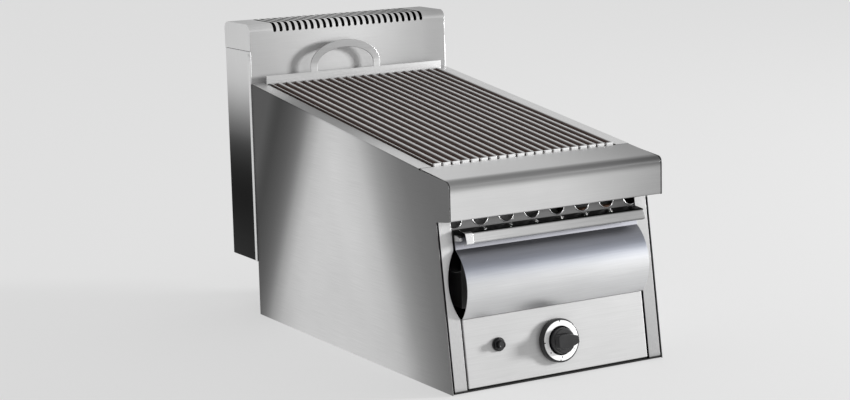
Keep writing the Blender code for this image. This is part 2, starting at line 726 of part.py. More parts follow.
def gas_pipes():
    valve_back = VALVE_SETBACK + VALVE_DEPTH + GAP
    spot = KNOB_HEIGHT
    valve_y = FRONT + spot * math.sin(LEAN) + valve_back * math.cos(LEAN)
    valve_z = spot * math.cos(LEAN) - valve_back * math.sin(LEAN)
    side_x = HALF - PIPE_INSET
    lane_y = FRONT + FIREBOX_FRONT - PIPE_LANE
    back_y = valve_y + PIPE_RADIUS * 3
    offset = VALVE_SIZE / 4
    feed = [
        (offset, valve_y + PIPE_RADIUS * 0.5, valve_z),
        (offset, back_y + PIPE_RADIUS, valve_z),
        (side_x, back_y + PIPE_RADIUS, valve_z),
        (side_x, lane_y, BURNER_HEIGHT),
        (BURNER_SPREAD, lane_y, BURNER_HEIGHT),
        (BURNER_SPREAD, FRONT + INJECTOR_START - GAP, BURNER_HEIGHT),
    ]
    tube_along("burner_feed_pipe", feed, PIPE_RADIUS, COPPER, PIPE_BEND)
    inlet_x = -HALF + INLET_INSET
    supply = [
        (-offset, valve_y + PIPE_RADIUS * 0.5, valve_z),
        (-offset, back_y + PIPE_RADIUS, valve_z),
        (inlet_x, back_y + PIPE_RADIUS, INLET_HEIGHT),
        (inlet_x, BACK - INLET_PIPE_GAP, INLET_HEIGHT),
    ]
    tube_along("gas_supply_pipe", supply, PIPE_RADIUS, COPPER, PIPE_BEND)
    place = {"location": (inlet_x, BACK, INLET_HEIGHT), "rotation": (-math.pi / 2, 0, 0)}
    fitting = rod("gas_inlet", INLET_RADIUS, -INLET_INSIDE, INLET_OUTSIDE, BRASS, **place)
    hexagon = rod("inlet_hexagon", HEXAGON_RADIUS, -HEXAGON_END, -HEXAGON_START, None, steps=6, **place)
    boolean(fitting, hexagon, "UNION")


def tray_group(front):
    low_y = front_depth(SHIELD_HIGH + SHIELD_FLANGE) + GAP
    high_y = BACK - TRAY_BACK_GAP
    wall = LINER
    tray = box("water_tray", (-TRAY_HALF, low_y, TRAY_FLOOR), (TRAY_HALF, high_y, TRAY_TOP), STEEL)
    hollow = box(
        "tray_hollow",
        (-TRAY_HALF + wall, low_y + wall, TRAY_FLOOR + wall),
        (TRAY_HALF - wall, high_y - wall, TRAY_TOP + wall),
        None,
    )
    boolean(tray, hollow, "DIFFERENCE")
    front_top = (SHIELD_HIGH + SHIELD_FLANGE) * math.cos(LEAN) - TRAY_FRONT_DROP
    rise = box(
        "tray_front_wall",
        (-TRAY_HALF, low_y, TRAY_TOP - TRAY_FRONT_OVERLAP),
        (TRAY_HALF, low_y + wall, front_top),
        None,
    )
    boolean(tray, rise, "UNION")

    def rim(label, side):
        x_low, x_high = span(side, TRAY_HALF - wall / 2, TRAY_HALF + TRAY_RIM)
        strip = box(f"tray_rim_{label}", (x_low, low_y, TRAY_TOP - wall), (x_high, high_y, TRAY_TOP), None)
        boolean(tray, strip, "UNION")

    both_sides(rim)

    def runner(label, side):
        ledge = TRAY_TOP - wall - GAP
        outer = INNER - GAP
        path = [
            (side * (outer - RUNNER_LEDGE), ledge - SKIN),
            (side * outer, ledge - SKIN),
            (side * outer, ledge + RUNNER_LEG),
        ]
        outline = sheet(path, side * SKIN)
        prism(f"tray_runner_{label}", outline, FRONT + RUNNER_START, BACK - RUNNER_BACK_GAP, "Y", STEEL)

    both_sides(runner)

    half = (SHIELD_HIGH - SHIELD_LOW) / 2
    radius = (half ** 2 + SHIELD_BULGE ** 2) / (2 * SHIELD_BULGE)
    swing = math.asin(half / radius)
    middle = (SHIELD_LOW + SHIELD_HIGH) / 2
    proud = TRAY_FACE_GAP + HANDLE_SHEET
    centre = (-proud - SHIELD_BULGE + radius, middle)
    bulge = arc(centre, radius, math.pi + swing, math.pi - swing, 14)
    path = [*bulge, (-proud, SHIELD_HIGH + SHIELD_FLANGE)]
    wide = OPENING - TRAY_SIDE_GAP
    prism("tray_front", sheet(path, -HANDLE_SHEET), -wide, wide, "X", BRIGHT, parent=front)

    apron = HANDLE_HIGH - HANDLE_APRON_DROP
    foot = apron - HANDLE_FACE
    slant = HANDLE_REACH + HANDLE_SLANT
    corners = [
        (-HANDLE_TOP_GAP, HANDLE_HIGH),
        (-HANDLE_REACH, apron),
        (-slant, foot),
        (-slant + HANDLE_LIP, foot - HANDLE_LIP_DROP),
    ]
    path = rounded(corners, HANDLE_RADIUS)
    prism("tray_handle", sheet(path, HANDLE_SHEET), -wide + HANDLE_INSET_LEFT, wide, "X", BRIGHT, parent=front)
    back = -proud - GAP
    nose_y = BRACKET_INSET - slant
    shape = [
        (back, foot + BRACKET_FOOT),
        (nose_y, foot + BRACKET_FOOT),
        (nose_y, apron - BRACKET_SHOULDER),
        (nose_y + BRACKET_SHOULDER, apron - BRACKET_SHOULDER / 2),
        (back, apron - SKIN),
    ]
    for label, x in (("left", -wide), ("right", wide - 2 * BRACKET_WIDTH)):
        prism(f"handle_bracket_{label}", shape, x, x + BRACKET_WIDTH, "X", BRIGHT, parent=front)


def grate_group(top):
    half = OPENING - GRATE_SIDE_GAP
    count = int((2 * half + BAR_SLIT) / BAR_PITCH)
    bar_low = BAR_PROUD - BAR_HEIGHT
    plate_y = BACK - REAR_RAIL - GAP - BACK_PLATE
    start = NOSE_DEPTH + BAR_START_GAP
    end = (plate_y - GAP - FRONT) / math.cos(TILT) - BAR_HEIGHT * math.tan(TILT)
    wall = LINER
    lip = (BAR_PITCH - BAR_SLIT) / 2
    edge = BAR_WIDTH / 2
    lip_low = BAR_PROUD - wall
    side = [(-lip, lip_low), (-edge, lip_low), (-edge, bar_low)]
    path = side + [(-x, z) for x, z in reversed(side)]
    channels = []
    for i in range(count):
        x = (i - (count - 1) / 2) * BAR_PITCH
        channels.append([(x + a, b) for a, b in sheet(path, wall)])
    bars = add("grate_bars", prisms("grate_bars", channels, start, end, "Y"), DARK_STEEL, parent=top)
    reach = (count - 1) / 2 * BAR_PITCH + BAR_WIDTH / 2
    depth = CROSSBAR
    for i in range(CROSSBAR_COUNT):
        y = start + (end - start) * (i + 0.25) / (CROSSBAR_COUNT - 0.5)
        bar_high = (reach, y + CROSSBAR, bar_low + wall / 2)
        bar = box(f"crossbar_{i}", (-reach, y, bar_low - depth), bar_high, None, parent=top)
        boolean(bars, bar, "UNION")

    ledge = bar_low - GAP
    rest_half = OPENING - GAP
    front_start = NOSE_DEPTH + GAP + SKIN
    rests = (("front", front_start, front_start), ("rear", end - REST_WIDTH, end - SKIN))
    for label, y, leg_y in rests:
        rest_high = (rest_half, y + REST_WIDTH, ledge)
        rest = box(f"grate_rest_{label}", (-rest_half, y, ledge - SKIN), rest_high, STEEL, parent=top)
        leg = box(f"rest_leg_{label}", (-rest_half, leg_y, ledge - REST_WIDTH / 2),
                  (rest_half, leg_y + SKIN, ledge - SKIN / 2), None, parent=top)
        boolean(rest, leg, "UNION")

    surface = worktop_height(plate_y + BACK_PLATE)
    plate_top = surface + BACK_PLATE_RISE
    shoulder = surface + GAP
    wide = OPENING + BACK_PLATE_OVERLAP
    inner = OPENING - GRATE_SIDE_GAP
    plate_low = surface - BAR_HEIGHT + BAR_PROUD
    outline = [(-inner, plate_low), (inner, plate_low), (inner, shoulder), (wide, shoulder), (wide, plate_top)]
    outline += arch_path(plate_top, 0)
    outline += [(-wide, plate_top), (-wide, shoulder), (-inner, shoulder)]
    plate = prism("grate_back_plate", outline, plate_y, plate_y + BACK_PLATE, "Y", BRIGHT)
    window = arch_path(plate_top, ARCH_BAND)
    cutter = prism("arch_window", window, plate_y - BACK_PLATE, plate_y + 2 * BACK_PLATE, "Y", None)
    boolean(plate, cutter, "DIFFERENCE")


def arch_path(base, inset):
    """Half-oval from right to left standing on the plate's top edge, smaller by the inset all round."""
    half = ARCH_HALF_WIDTH - inset
    rise = ARCH_RISE - inset
    points = [(ARCH_OFFSET + half, base)]
    for x, z in arc((0, 0), 1, 0, math.pi, 20):
        points.append((ARCH_OFFSET + half * x, base + ARCH_LEG + (rise - ARCH_LEG) * z))
    return points + [(ARCH_OFFSET - half, base)]


def flue():
    near = BACK + GAP
    shell_high = SEAM_HEIGHT - SEAM
    path = [(-HALF, near), (-HALF, FLUE_BACK), (HALF, FLUE_BACK), (HALF, near)]
    prism("flue_shell", sheet(path, -SKIN), FLUE_LOW, shell_high, "Z", STEEL)
    inner = INNER - GAP
    window_top = BACK_HEIGHT - WINDOW_HIGH
    box("flue_front_plate", (-inner, near, window_top), (inner, near + SKIN, shell_high), BRIGHT)

    corners = [(near, SEAM_HEIGHT), (near, FLUE_HIGH), (FLUE_BACK, FLUE_HIGH), (FLUE_BACK, SEAM_HEIGHT)]
    outer = rounded(corners, CAP_RADIUS, 6)
    cap = prism("flue_cap", outer, -HALF, HALF, "X", BRIGHT)
    low = SEAM_HEIGHT - SKIN
    high = FLUE_HIGH - SKIN
    inside = rounded(
        [(near + SKIN, low), (near + SKIN, high), (FLUE_BACK - SKIN, high), (FLUE_BACK - SKIN, low)],
        CAP_RADIUS - SKIN, 6
    )
    boolean(cap, prism("cap_hollow", inside, -INNER, INNER, "X", None), "DIFFERENCE")
    count = int((BODY_WIDTH - 2 * SLOT_MARGIN) / SLOT_PITCH)
    slots = []
    for i in range(count):
        x = (i - (count - 1) / 2) * SLOT_PITCH
        left, right = x - SLOT_WIDTH / 2, x + SLOT_WIDTH / 2
        back = FLUE_BACK - SLOT_BACK_GAP
        slots.append([(left, BACK - SKIN), (right, BACK - SKIN), (right, back), (left, back)])
    cutter = add("cap_slots", prisms("cap_slots", slots, FLUE_HIGH - SLOT_DROP, FLUE_HIGH + SKIN, "Z"), None)
    boolean(cap, cutter, "DIFFERENCE")

    def side_fittings(label, side):
        strip = span(side, HALF + GAP, HALF + GAP + LINER)
        box(
            f"flue_flange_{label}",
            (strip[0], near, FLUE_LOW),
            (strip[1], near + FLUE_FLANGE_REACH, SEAM_HEIGHT - 2 * SCREW_INSET),
            BRIGHT,
        )
        head = [(0, SCREW_HEAD), (SCREW_RADIUS * 0.6, SCREW_HEAD * 0.85), (SCREW_RADIUS, SCREW_HEAD * 0.3),
                (SCREW_RADIUS, GAP), (0, GAP)]
        turned(f"cap_screw_{label}", head, BRIGHT, 16, rotation=(0, side * math.pi / 2, 0),
               location=(side * HALF, near + SCREW_INSET, SEAM_HEIGHT - SCREW_INSET))

    both_sides(side_fittings)


def build():
    clear_scene()
    front = frame_empty("front_plane", (0, FRONT, 0), -LEAN)
    top = frame_empty("worktop_plane", (0, FRONT, FRONT_HEIGHT), TILT)
    igniter_x = -PANEL_HALF + IGNITER_INSET
    side_panels()
    base_and_back()
    front_posts(front)
    nose()
    air_plate(front)
    worktop(top)
    firebox()
    burner_group()
    pilot_group()
    control_panel(front, igniter_x)
    knob_group(front)
    igniter_group(front, igniter_x)
    gas_pipes()
    tray_group(front)
    grate_group(top)
    flue()


build()
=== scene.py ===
import json
import math

import bmesh
import bpy
from mathutils import Matrix, Vector


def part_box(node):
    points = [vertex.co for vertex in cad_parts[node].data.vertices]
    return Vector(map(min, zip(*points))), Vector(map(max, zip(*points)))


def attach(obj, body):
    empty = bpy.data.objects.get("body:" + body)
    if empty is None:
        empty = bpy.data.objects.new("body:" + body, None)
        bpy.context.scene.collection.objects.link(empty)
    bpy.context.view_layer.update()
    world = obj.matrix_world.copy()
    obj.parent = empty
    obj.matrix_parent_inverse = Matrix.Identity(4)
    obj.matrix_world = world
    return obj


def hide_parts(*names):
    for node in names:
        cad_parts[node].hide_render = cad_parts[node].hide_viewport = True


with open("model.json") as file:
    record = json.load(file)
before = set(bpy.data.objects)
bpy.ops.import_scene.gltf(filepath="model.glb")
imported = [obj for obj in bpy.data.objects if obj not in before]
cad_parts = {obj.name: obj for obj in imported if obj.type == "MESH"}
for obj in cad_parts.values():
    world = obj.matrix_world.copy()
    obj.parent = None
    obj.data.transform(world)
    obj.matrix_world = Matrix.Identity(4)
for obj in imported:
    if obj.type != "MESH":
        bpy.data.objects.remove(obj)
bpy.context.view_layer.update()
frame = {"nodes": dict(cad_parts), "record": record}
nodes = frame["nodes"]
print("frame loaded with", len(nodes), "nodes")

# The body's sizes in metres, and the places that follow from them and the frame
body = {
    "frontHeight": 0.332,
    "backHeight": 0.418,
    "noseBottom": 0.2716,
    "postTop": 0.2656,
    "setback": 0.040,
    "sheet": 0.0015,
    "gap": 0.0003,      # between neighbouring pieces
    "corner": 0.0003,   # rounding on cut sheet edges
}
sideLow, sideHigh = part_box("side_panel_left")
frontY, backY = sideLow.y, sideHigh.y
halfWidth = -sideLow.x
tilt = math.atan2(body["backHeight"] - body["frontHeight"], backY - frontY)
lean = math.atan2(body["setback"], body["postTop"])
onFront = Matrix.Translation((0, frontY, 0)) @ Matrix.Rotation(-lean, 4, "X")
onTop = Matrix.Translation((0, frontY, body["frontHeight"])) @ Matrix.Rotation(tilt, 4, "X")
postLength = math.hypot(body["setback"], body["postTop"])


def choose(piece):
    bpy.ops.object.select_all(action="DESELECT")
    piece.select_set(True)
    bpy.context.view_layer.objects.active = piece


def openEdit(piece):
    choose(piece)
    bpy.ops.object.mode_set(mode="EDIT")
    bpy.ops.mesh.select_mode(type="VERT")


def closeEdit():
    bpy.ops.object.mode_set(mode="OBJECT")


def pick(piece, kind, test):  # select only what passes the test
    bpy.ops.mesh.select_mode(type=kind)
    bpy.ops.mesh.select_all(action="DESELECT")
    shape = bmesh.from_edit_mesh(piece.data)
    items = {"VERT": shape.verts, "EDGE": shape.edges, "FACE": shape.faces}[kind]
    for item in items:
        if test(item):
            item.select_set(True)
    bmesh.update_edit_mesh(piece.data)


def pull(step):  # extrude what is selected
    bpy.ops.mesh.extrude_region_move(TRANSFORM_OT_translate={"value": step})


def middleOf(edge):
    return (edge.verts[0].co + edge.verts[1].co) / 2


def runOf(edge, axis):  # how far the edge runs along X, Y or Z
    return abs(getattr(edge.verts[0].co, axis) - getattr(edge.verts[1].co, axis))


def newest(name):
    piece = bpy.context.view_layer.objects.active
    piece.name = name
    piece.data.name = name
    return piece


def startPlane(name):
    bpy.ops.object.select_all(action="DESELECT")
    bpy.ops.mesh.primitive_plane_add(size=1)
    return newest(name)


def startBox(name, low, high):
    bpy.ops.object.select_all(action="DESELECT")
    size = [b - a for a, b in zip(low, high)]
    bpy.ops.mesh.primitive_cube_add(size=1, location=[(a + b) / 2 for a, b in zip(low, high)])
    piece = newest(name)
    piece.scale = size
    settle(piece)
    return piece


def settle(piece, place=None):  # put the place into the mesh
    if place is not None:
        piece.matrix_world = place @ piece.matrix_world
    choose(piece)
    bpy.ops.object.transform_apply(location=True, rotation=True, scale=True)
    return piece


def applyStep(piece, kind, **settings):
    choose(piece)
    step = piece.modifiers.new(kind.title(), kind)
    for key, value in settings.items():
        setattr(step, key, value)
    bpy.ops.object.modifier_apply(modifier=step.name)


def soften(piece, width, segments=2, angle=35):  # small rounded edges
    applyStep(piece, "BEVEL", width=width, segments=segments, limit_method="ANGLE",
              angle_limit=math.radians(angle), harden_normals=False)


def smooth(piece, angle=35):
    choose(piece)
    bpy.ops.object.shade_smooth_by_angle(angle=math.radians(angle))
    applyStep(piece, "WEIGHTED_NORMAL", keep_sharp=True, weight=100, mode="FACE_AREA")


def thicken(piece, thickness, side=1, inner=0):
    applyStep(piece, "SOLIDIFY", thickness=thickness, offset=side, use_even_offset=True,
              material_offset=inner)


def combine(piece, other, way):
    applyStep(piece, "BOOLEAN", operation=way, solver="EXACT", object=other)
    bpy.data.objects.remove(other, do_unlink=True)


def cutAway(piece, cutters):
    for cutter in cutters:
        combine(piece, cutter, "DIFFERENCE")


def joined(name, pieces):
    bpy.ops.object.select_all(action="DESELECT")
    for piece in pieces:
        piece.select_set(True)
    bpy.context.view_layer.objects.active = pieces[0]
    bpy.ops.object.join()
    return newest(name)


def copyOf(piece, name, offset):
    twin = piece.copy()
    twin.data = piece.data.copy()
    twin.name = name
    bpy.context.scene.collection.objects.link(twin)
    twin.location = offset
    return settle(twin)


def foldedSheet(name, across, path, thickness, side, edge=body["corner"], coats=()):
    # Pull one edge along the path, which is (y, z) or (y, z, radius of the fold)
    foldStep = 9     # degrees for each step of a fold
    near = 0.00005
    piece = startPlane(name)
    openEdit(piece)
    pick(piece, "VERT", lambda v: v.co.y > 0)
    bpy.ops.mesh.delete(type="VERT")
    bpy.ops.mesh.select_all(action="SELECT")
    bpy.ops.transform.resize(value=(across[1] - across[0], 1, 1))
    middle = (across[0] + across[1]) / 2
    bpy.ops.transform.translate(value=(middle, path[0][0] + 0.5, path[0][1]))
    for before, after in zip(path, path[1:]):
        pull((0, after[0] - before[0], after[1] - before[1]))
    for before, fold, after in zip(path, path[1:], path[2:]):
        if len(fold) < 3:
            continue
        first = Vector((fold[0] - before[0], fold[1] - before[1]))
        second = Vector((after[0] - fold[0], after[1] - fold[1]))
        turn = first.angle(second)
        spot = Vector((0, fold[0], fold[1]))
        pick(piece, "EDGE", lambda e: all((v.co - spot).yz.length < near for v in e.verts))
        steps = max(3, int(math.degrees(turn) / foldStep))
        bpy.ops.mesh.bevel(offset=fold[2] * math.tan(turn / 2), segments=steps, affect="EDGES")
    closeEdit()
    if coats:
        dress(piece, *coats)
    thicken(piece, thickness, side, len(coats) - 1 if coats else 0)
    if edge:
        soften(piece, edge, 2, 50)
    smooth(piece)
    return piece


def filledOutline(name, corners, rounds=()):
    # Pull a point round the outline in the YZ plane at x 0, then fill it
    piece = startPlane(name)
    openEdit(piece)
    bpy.ops.mesh.select_all(action="SELECT")
    bpy.ops.mesh.merge(type="CENTER")
    bpy.ops.mesh.select_all(action="SELECT")
    bpy.ops.transform.translate(value=(0, corners[0][0], corners[0][1]))
    for before, after in zip(corners, corners[1:]):
        pull((0, after[0] - before[0], after[1] - before[1]))
    bpy.ops.mesh.select_all(action="SELECT")
    bpy.ops.mesh.edge_face_add()
    for y, z, radius in rounds:
        spot = Vector((0, y, z))
        pick(piece, "VERT", lambda v: (v.co - spot).length < 0.0001)
        bpy.ops.mesh.bevel(offset=radius, segments=6, affect="VERTICES")
    closeEdit()
    return piece


# Materials
finishes = {}
grain = {
    "fine": 1500.0,     # strokes per metre across the brushing
    "along": 14.0,      # and along it
    "dark": 0.06,       # how much darker and lighter than the steel the strokes are
    "light": 0.05,
    "blotch": 6.0,      # size of the faint clouds
    "cloud": 0.93,
    "duller": 0.07,     # how far the strokes change the roughness
    "shinier": 0.05,
    "strength": 0.35,
    "depth": 0.00003,
}
plastic = {
    "speckle": 1800.0,
    "wear": 60.0,
    "dark": 0.8,
    "light": 1.35,
    "duller": 0.10,
    "shinier": 0.06,
    "strength": 0.3,
    "depth": 0.00003,
}


def link(tree, a, b):
    tree.links.new(a, b)


def addNode(tree, kind, **values):
    node = tree.nodes.new(kind)
    for key, value in values.items():
        if key in node.inputs:
            node.inputs[key].default_value = value
        else:
            setattr(node, key, value)
    return node


def ramp(tree, source, stops, interpolation="LINEAR"):
    node = addNode(tree, "ShaderNodeValToRGB")
    node.color_ramp.interpolation = interpolation
    points = node.color_ramp.elements
    for index, (place, tone) in enumerate(stops):
        point = points[index] if index < 2 else points.new(place)
        point.position = place
        colour = tone if isinstance(tone, tuple) else (tone, tone, tone)
        point.color = (*colour, 1)
    link(tree, source, node.inputs["Fac"])
    return node


def multiplied(tree, first, second):
    node = addNode(tree, "ShaderNodeMix", data_type="RGBA", blend_type="MULTIPLY")
    node.inputs[0].default_value = 1.0
    link(tree, first, node.inputs[6])
    link(tree, second, node.inputs[7])
    return node.outputs[2]


def shadeAlong(tree, coords, shade):  # painted light and shade: a soft change of tone along a direction of the object
    direction, low, high, stops = shade
    turned = addNode(tree, "ShaderNodeVectorMath", operation="DOT_PRODUCT")
    turned.inputs[1].default_value = direction
    link(tree, coords, turned.inputs[0])
    share = addNode(tree, "ShaderNodeMapRange", interpolation_type="LINEAR")
    share.inputs["From Min"].default_value = low
    share.inputs["From Max"].default_value = high
    link(tree, turned.outputs["Value"], share.inputs["Value"])
    return ramp(tree, share.outputs["Result"], stops, "B_SPLINE").outputs["Color"]


def steel(name, brushed, level=0.75, roughness=0.32, shades=(), tint=(1.0, 1.0, 1.0), metallic=1.0,
          depth=1.0, contrast=1.0, rim=1.0):
    made = bpy.data.materials.new(name)
    made.use_nodes = True
    tree = made.node_tree
    shader = tree.nodes["Principled BSDF"]
    shader.inputs["Metallic"].default_value = metallic
    coords = addNode(tree, "ShaderNodeTexCoord").outputs["Object"]

    shader.inputs["Specular Tint"].default_value = (rim, rim, rim, 1)
    stretch = [grain["fine"]] * 3
    stretch["XYZ".index(brushed)] = grain["along"]
    place = addNode(tree, "ShaderNodeMapping")
    place.inputs["Scale"].default_value = stretch
    link(tree, coords, place.inputs["Vector"])
    strokes = addNode(tree, "ShaderNodeTexNoise", Scale=1.0, Detail=3.0, Roughness=0.6)
    link(tree, place.outputs["Vector"], strokes.inputs["Vector"])
    low = 1 - grain["dark"] * contrast
    high = 1 + grain["light"] * contrast
    colour = ramp(tree, strokes.outputs["Fac"], [
        (0.32, tuple(level * low * part for part in tint)),
        (0.68, tuple(min(1.0, level * high * part) for part in tint)),
    ]).outputs["Color"]

    clouds = addNode(tree, "ShaderNodeTexNoise", Scale=grain["blotch"], Detail=2.0)
    link(tree, coords, clouds.inputs["Vector"])
    cloudy = ramp(tree, clouds.outputs["Fac"], [(0.3, grain["cloud"]), (0.7, 1.0)]).outputs["Color"]
    colour = multiplied(tree, colour, cloudy)
    # each shade is painted light or shade laid over the steel's colour
    for shade in shades:
        colour = multiplied(tree, colour, shadeAlong(tree, coords, shade))
    link(tree, colour, shader.inputs["Base Color"])

    sheen = addNode(tree, "ShaderNodeMapRange")
    sheen.inputs["To Min"].default_value = roughness - grain["shinier"]
    sheen.inputs["To Max"].default_value = roughness + grain["duller"]
    link(tree, strokes.outputs["Fac"], sheen.inputs["Value"])
    link(tree, sheen.outputs["Result"], shader.inputs["Roughness"])
    bump = addNode(tree, "ShaderNodeBump", Strength=grain["strength"])
    bump.inputs["Distance"].default_value = grain["depth"] * depth
    link(tree, strokes.outputs["Fac"], bump.inputs["Height"])
    link(tree, bump.outputs["Normal"], shader.inputs["Normal"])
    finishes[name] = made


def moulded(name, tone, roughness):  # plastic, and the black used as painted shadow under the front
    made = bpy.data.materials.new(name)
    made.use_nodes = True
    tree = made.node_tree
    shader = tree.nodes["Principled BSDF"]
    coords = addNode(tree, "ShaderNodeTexCoord").outputs["Object"]
    skin = addNode(tree, "ShaderNodeTexNoise", Scale=plastic["speckle"], Detail=2.0)
    link(tree, coords, skin.inputs["Vector"])
    worn = addNode(tree, "ShaderNodeTexNoise", Scale=plastic["wear"], Detail=3.0)
    link(tree, coords, worn.inputs["Vector"])
    colour = ramp(tree, worn.outputs["Fac"], [
        (0.35, tuple(part * plastic["dark"] for part in tone)),
        (0.75, tuple(part * plastic["light"] for part in tone)),
    ]).outputs["Color"]
    link(tree, colour, shader.inputs["Base Color"])
    sheen = addNode(tree, "ShaderNodeMapRange")
    sheen.inputs["To Min"].default_value = roughness - plastic["shinier"]
    sheen.inputs["To Max"].default_value = roughness + plastic["duller"]
    link(tree, worn.outputs["Fac"], sheen.inputs["Value"])
    link(tree, sheen.outputs["Result"], shader.inputs["Roughness"])
    bump = addNode(tree, "ShaderNodeBump", Strength=plastic["strength"])
    bump.inputs["Distance"].default_value = plastic["depth"]
    link(tree, skin.outputs["Fac"], bump.inputs["Height"])
    link(tree, bump.outputs["Normal"], shader.inputs["Normal"])
    finishes[name] = made


upSlope = (0, math.sin(lean), math.cos(lean))
offGrate = (0, -math.sin(tilt), math.cos(tilt))


def frontSpan(low, high):  # distances up the sloping front, as places along upSlope
    return low + math.sin(lean) * frontY, high + math.sin(lean) * frontY


def grateSpan(low, high):  # heights over the worktop's plane
    base = -math.sin(tilt) * frontY + math.cos(tilt) * body["frontHeight"]
    return base + low, base + high


fullWidth = (1, 0, 0), -halfWidth, halfWidth
back = (0, 1, 0)
up = (0, 0, 1)
# Side skins: painted reflection, dark bands towards the back and top and towards the front
steel("sideSatinPaintedReflection", "Y", level=0.90, roughness=0.36, shades=[
    ((0, 1, 0.48), 0.18, 0.46, [(0.0, 1.0), (0.25, 0.85), (0.40, 0.48), (0.50, 0.22), (0.62, 0.12),
                                (0.78, 0.055), (0.88, 0.04), (1.0, 0.12)]),
    ((0, 1, -0.42), -0.42, -0.08, [(0.0, 0.20), (0.24, 0.26), (0.38, 0.35), (0.50, 0.49), (0.59, 0.68),
                                   (0.68, 0.86), (0.82, 0.95), (0.94, 1.0)]),
])
# Left worktop edge: painted reflection, light at both ends and darker in the middle
steel("edgeLeftSatin", "Y", level=0.95, roughness=0.34, shades=[
    (back, -0.245, 0.335, [(0.0, 1.0), (0.16, 0.98), (0.36, 0.50), (0.58, 0.36), (0.74, 0.40),
                           (0.86, 0.80), (0.93, 1.0), (1.0, 0.95)]),
])
steel("edgeRightSatin", "Y", level=0.92, roughness=0.34)
# Cap front: painted shade, darker towards both ends and most to the right, and a painted highlight on the
# top of the rounding
steel("flueSatinPaintedLight", "X", level=1.0, roughness=0.42, metallic=0.45, shades=[
    (*fullWidth, [(0.0, 0.62), (0.15, 0.70), (0.42, 0.88), (0.62, 0.80), (0.88, 0.42), (1.0, 0.41)]),
    (up, 0.506, 0.521, [(0.0, 0.68), (0.5, 0.80), (1.0, 1.0)]),
])
# Chimney sides and cap ends: painted reflection, near-black low down and light only near the top
steel("flueSideSatinPaintedReflection", "Z", level=1.0, roughness=0.36, rim=0.5, shades=[
    (up, 0.097, 0.475, [(0.0, 0.045), (0.12, 0.035), (0.28, 0.018), (0.42, 0.03), (0.52, 0.07),
                        (0.60, 0.15), (0.72, 0.50), (0.84, 0.90), (1.0, 1.0)]),
])
# Back of the chimney: painted shade, darker towards the bottom
steel("rearSatinPaintedShade", "Z", level=0.85, roughness=0.40, shades=[
    (up, 0.09, 0.50, [(0.0, 0.45), (0.6, 0.7), (1.0, 1.0)]),
])
# Control panel: painted shade, a little darker towards the right
steel("panelSatinPaintedShade", "X", level=0.60, roughness=0.40, metallic=0.5, shades=[
    (*fullWidth, [(0.0, 1.0), (1.0, 0.84)]),
])
slant = 0.707    # the painted dark band on the nose's bend runs along 45 degrees
bendTop = slant * (body["frontHeight"] - frontY)
# Nose: painted shade, the front face darker than the top; painted reflection, darker towards the right and a
# dark band along the bend
steel("noseSatinPaintedReflection", "X", level=1.0, roughness=0.32, shades=[
    (back, frontY - 0.002, frontY + 0.02, [(0.0, 0.70), (0.4, 0.76), (1.0, 0.97)]),
    (*fullWidth, [(0.0, 1.0), (0.5, 0.85), (0.8, 0.60), (1.0, 0.40)]),
    ((0, -slant, slant), bendTop - 0.016, bendTop - 0.003,
     [(0.0, 1.0), (0.35, 1.0), (0.7, 0.36), (1.0, 0.50)]),
])
# Posts and handle brackets: painted shade, darker towards the right and towards the bottom
steel("postSatinPaintedShade", "Z", level=0.86, roughness=0.34, shades=[
    (*fullWidth, [(0.0, 0.95), (1.0, 0.48)]),
    (up, 0.0, 0.012, [(0.0, 0.02), (0.38, 0.02), (0.46, 0.9), (1.0, 1.0)]),    # painted shadow at the foot
    (up, 0.0, 0.26, [(0.0, 0.78), (0.5, 0.84), (1.0, 1.0)]),
])
# Bowed tray front: painted reflection in bluish bands down the bow, and painted shadow of the handle along
# its top
steel("shieldSatinPaintedReflection", "X", level=0.95, roughness=0.42, tint=(0.985, 0.99, 1.0), shades=[
    (upSlope, *frontSpan(0.1155, 0.2221),
     [(0.0, 0.80), (0.15, 0.74), (0.33, 0.74), (0.5, 0.54), (0.66, (0.34, 0.355, 0.40)),
      (0.80, (0.19, 0.20, 0.23)), (1.0, (0.42, 0.42, 0.45))]),
])
steel("topSatin", "Y", level=0.85, roughness=0.32)
# Air plate: painted shade, dark all over and near-black at the right end
steel("airSatinPaintedShade", "X", level=0.24, roughness=0.30, shades=[
    (*fullWidth, [(0.0, 1.0), (0.7, 0.8), (1.0, 0.15)]),
])
steel("rimSatin", "X", level=1.0, roughness=0.25)
# Handle: painted shade, the sloping apron near-black and the bar darker towards the right
steel("handleSatinPaintedShade", "X", level=0.92, roughness=0.32, shades=[
    (upSlope, *frontSpan(0.2440, 0.2485), [(0.0, 1.0), (0.45, 0.9), (0.75, 0.06), (1.0, 0.03)]),
    (*fullWidth, [(0.0, 0.82), (0.5, 0.46), (1.0, 0.27)]),
])
steel("clipSatin", "Z", level=0.98, roughness=0.28)
# Back plate: painted shade, the arch darker than the plate below it
steel("archSatinPaintedShade", "X", level=0.85, roughness=0.30, shades=[
    (up, 0.43, 0.47, [(0.0, 0.90), (0.3, 0.84), (0.5, 0.56), (1.0, 0.50)]),
])
steel("innerSteel", "Y", level=0.40, roughness=0.45)
# Near-black steel painted as shade: inside the chimney and cap, on the slot walls and on the base pan
steel("paintedShadowSteel", "Y", level=0.03, roughness=0.6, depth=2.0, rim=0.0)
steel("heated", "Y", level=0.10, roughness=0.5, tint=(1.0, 0.86, 0.76), depth=3.0, contrast=3.0)
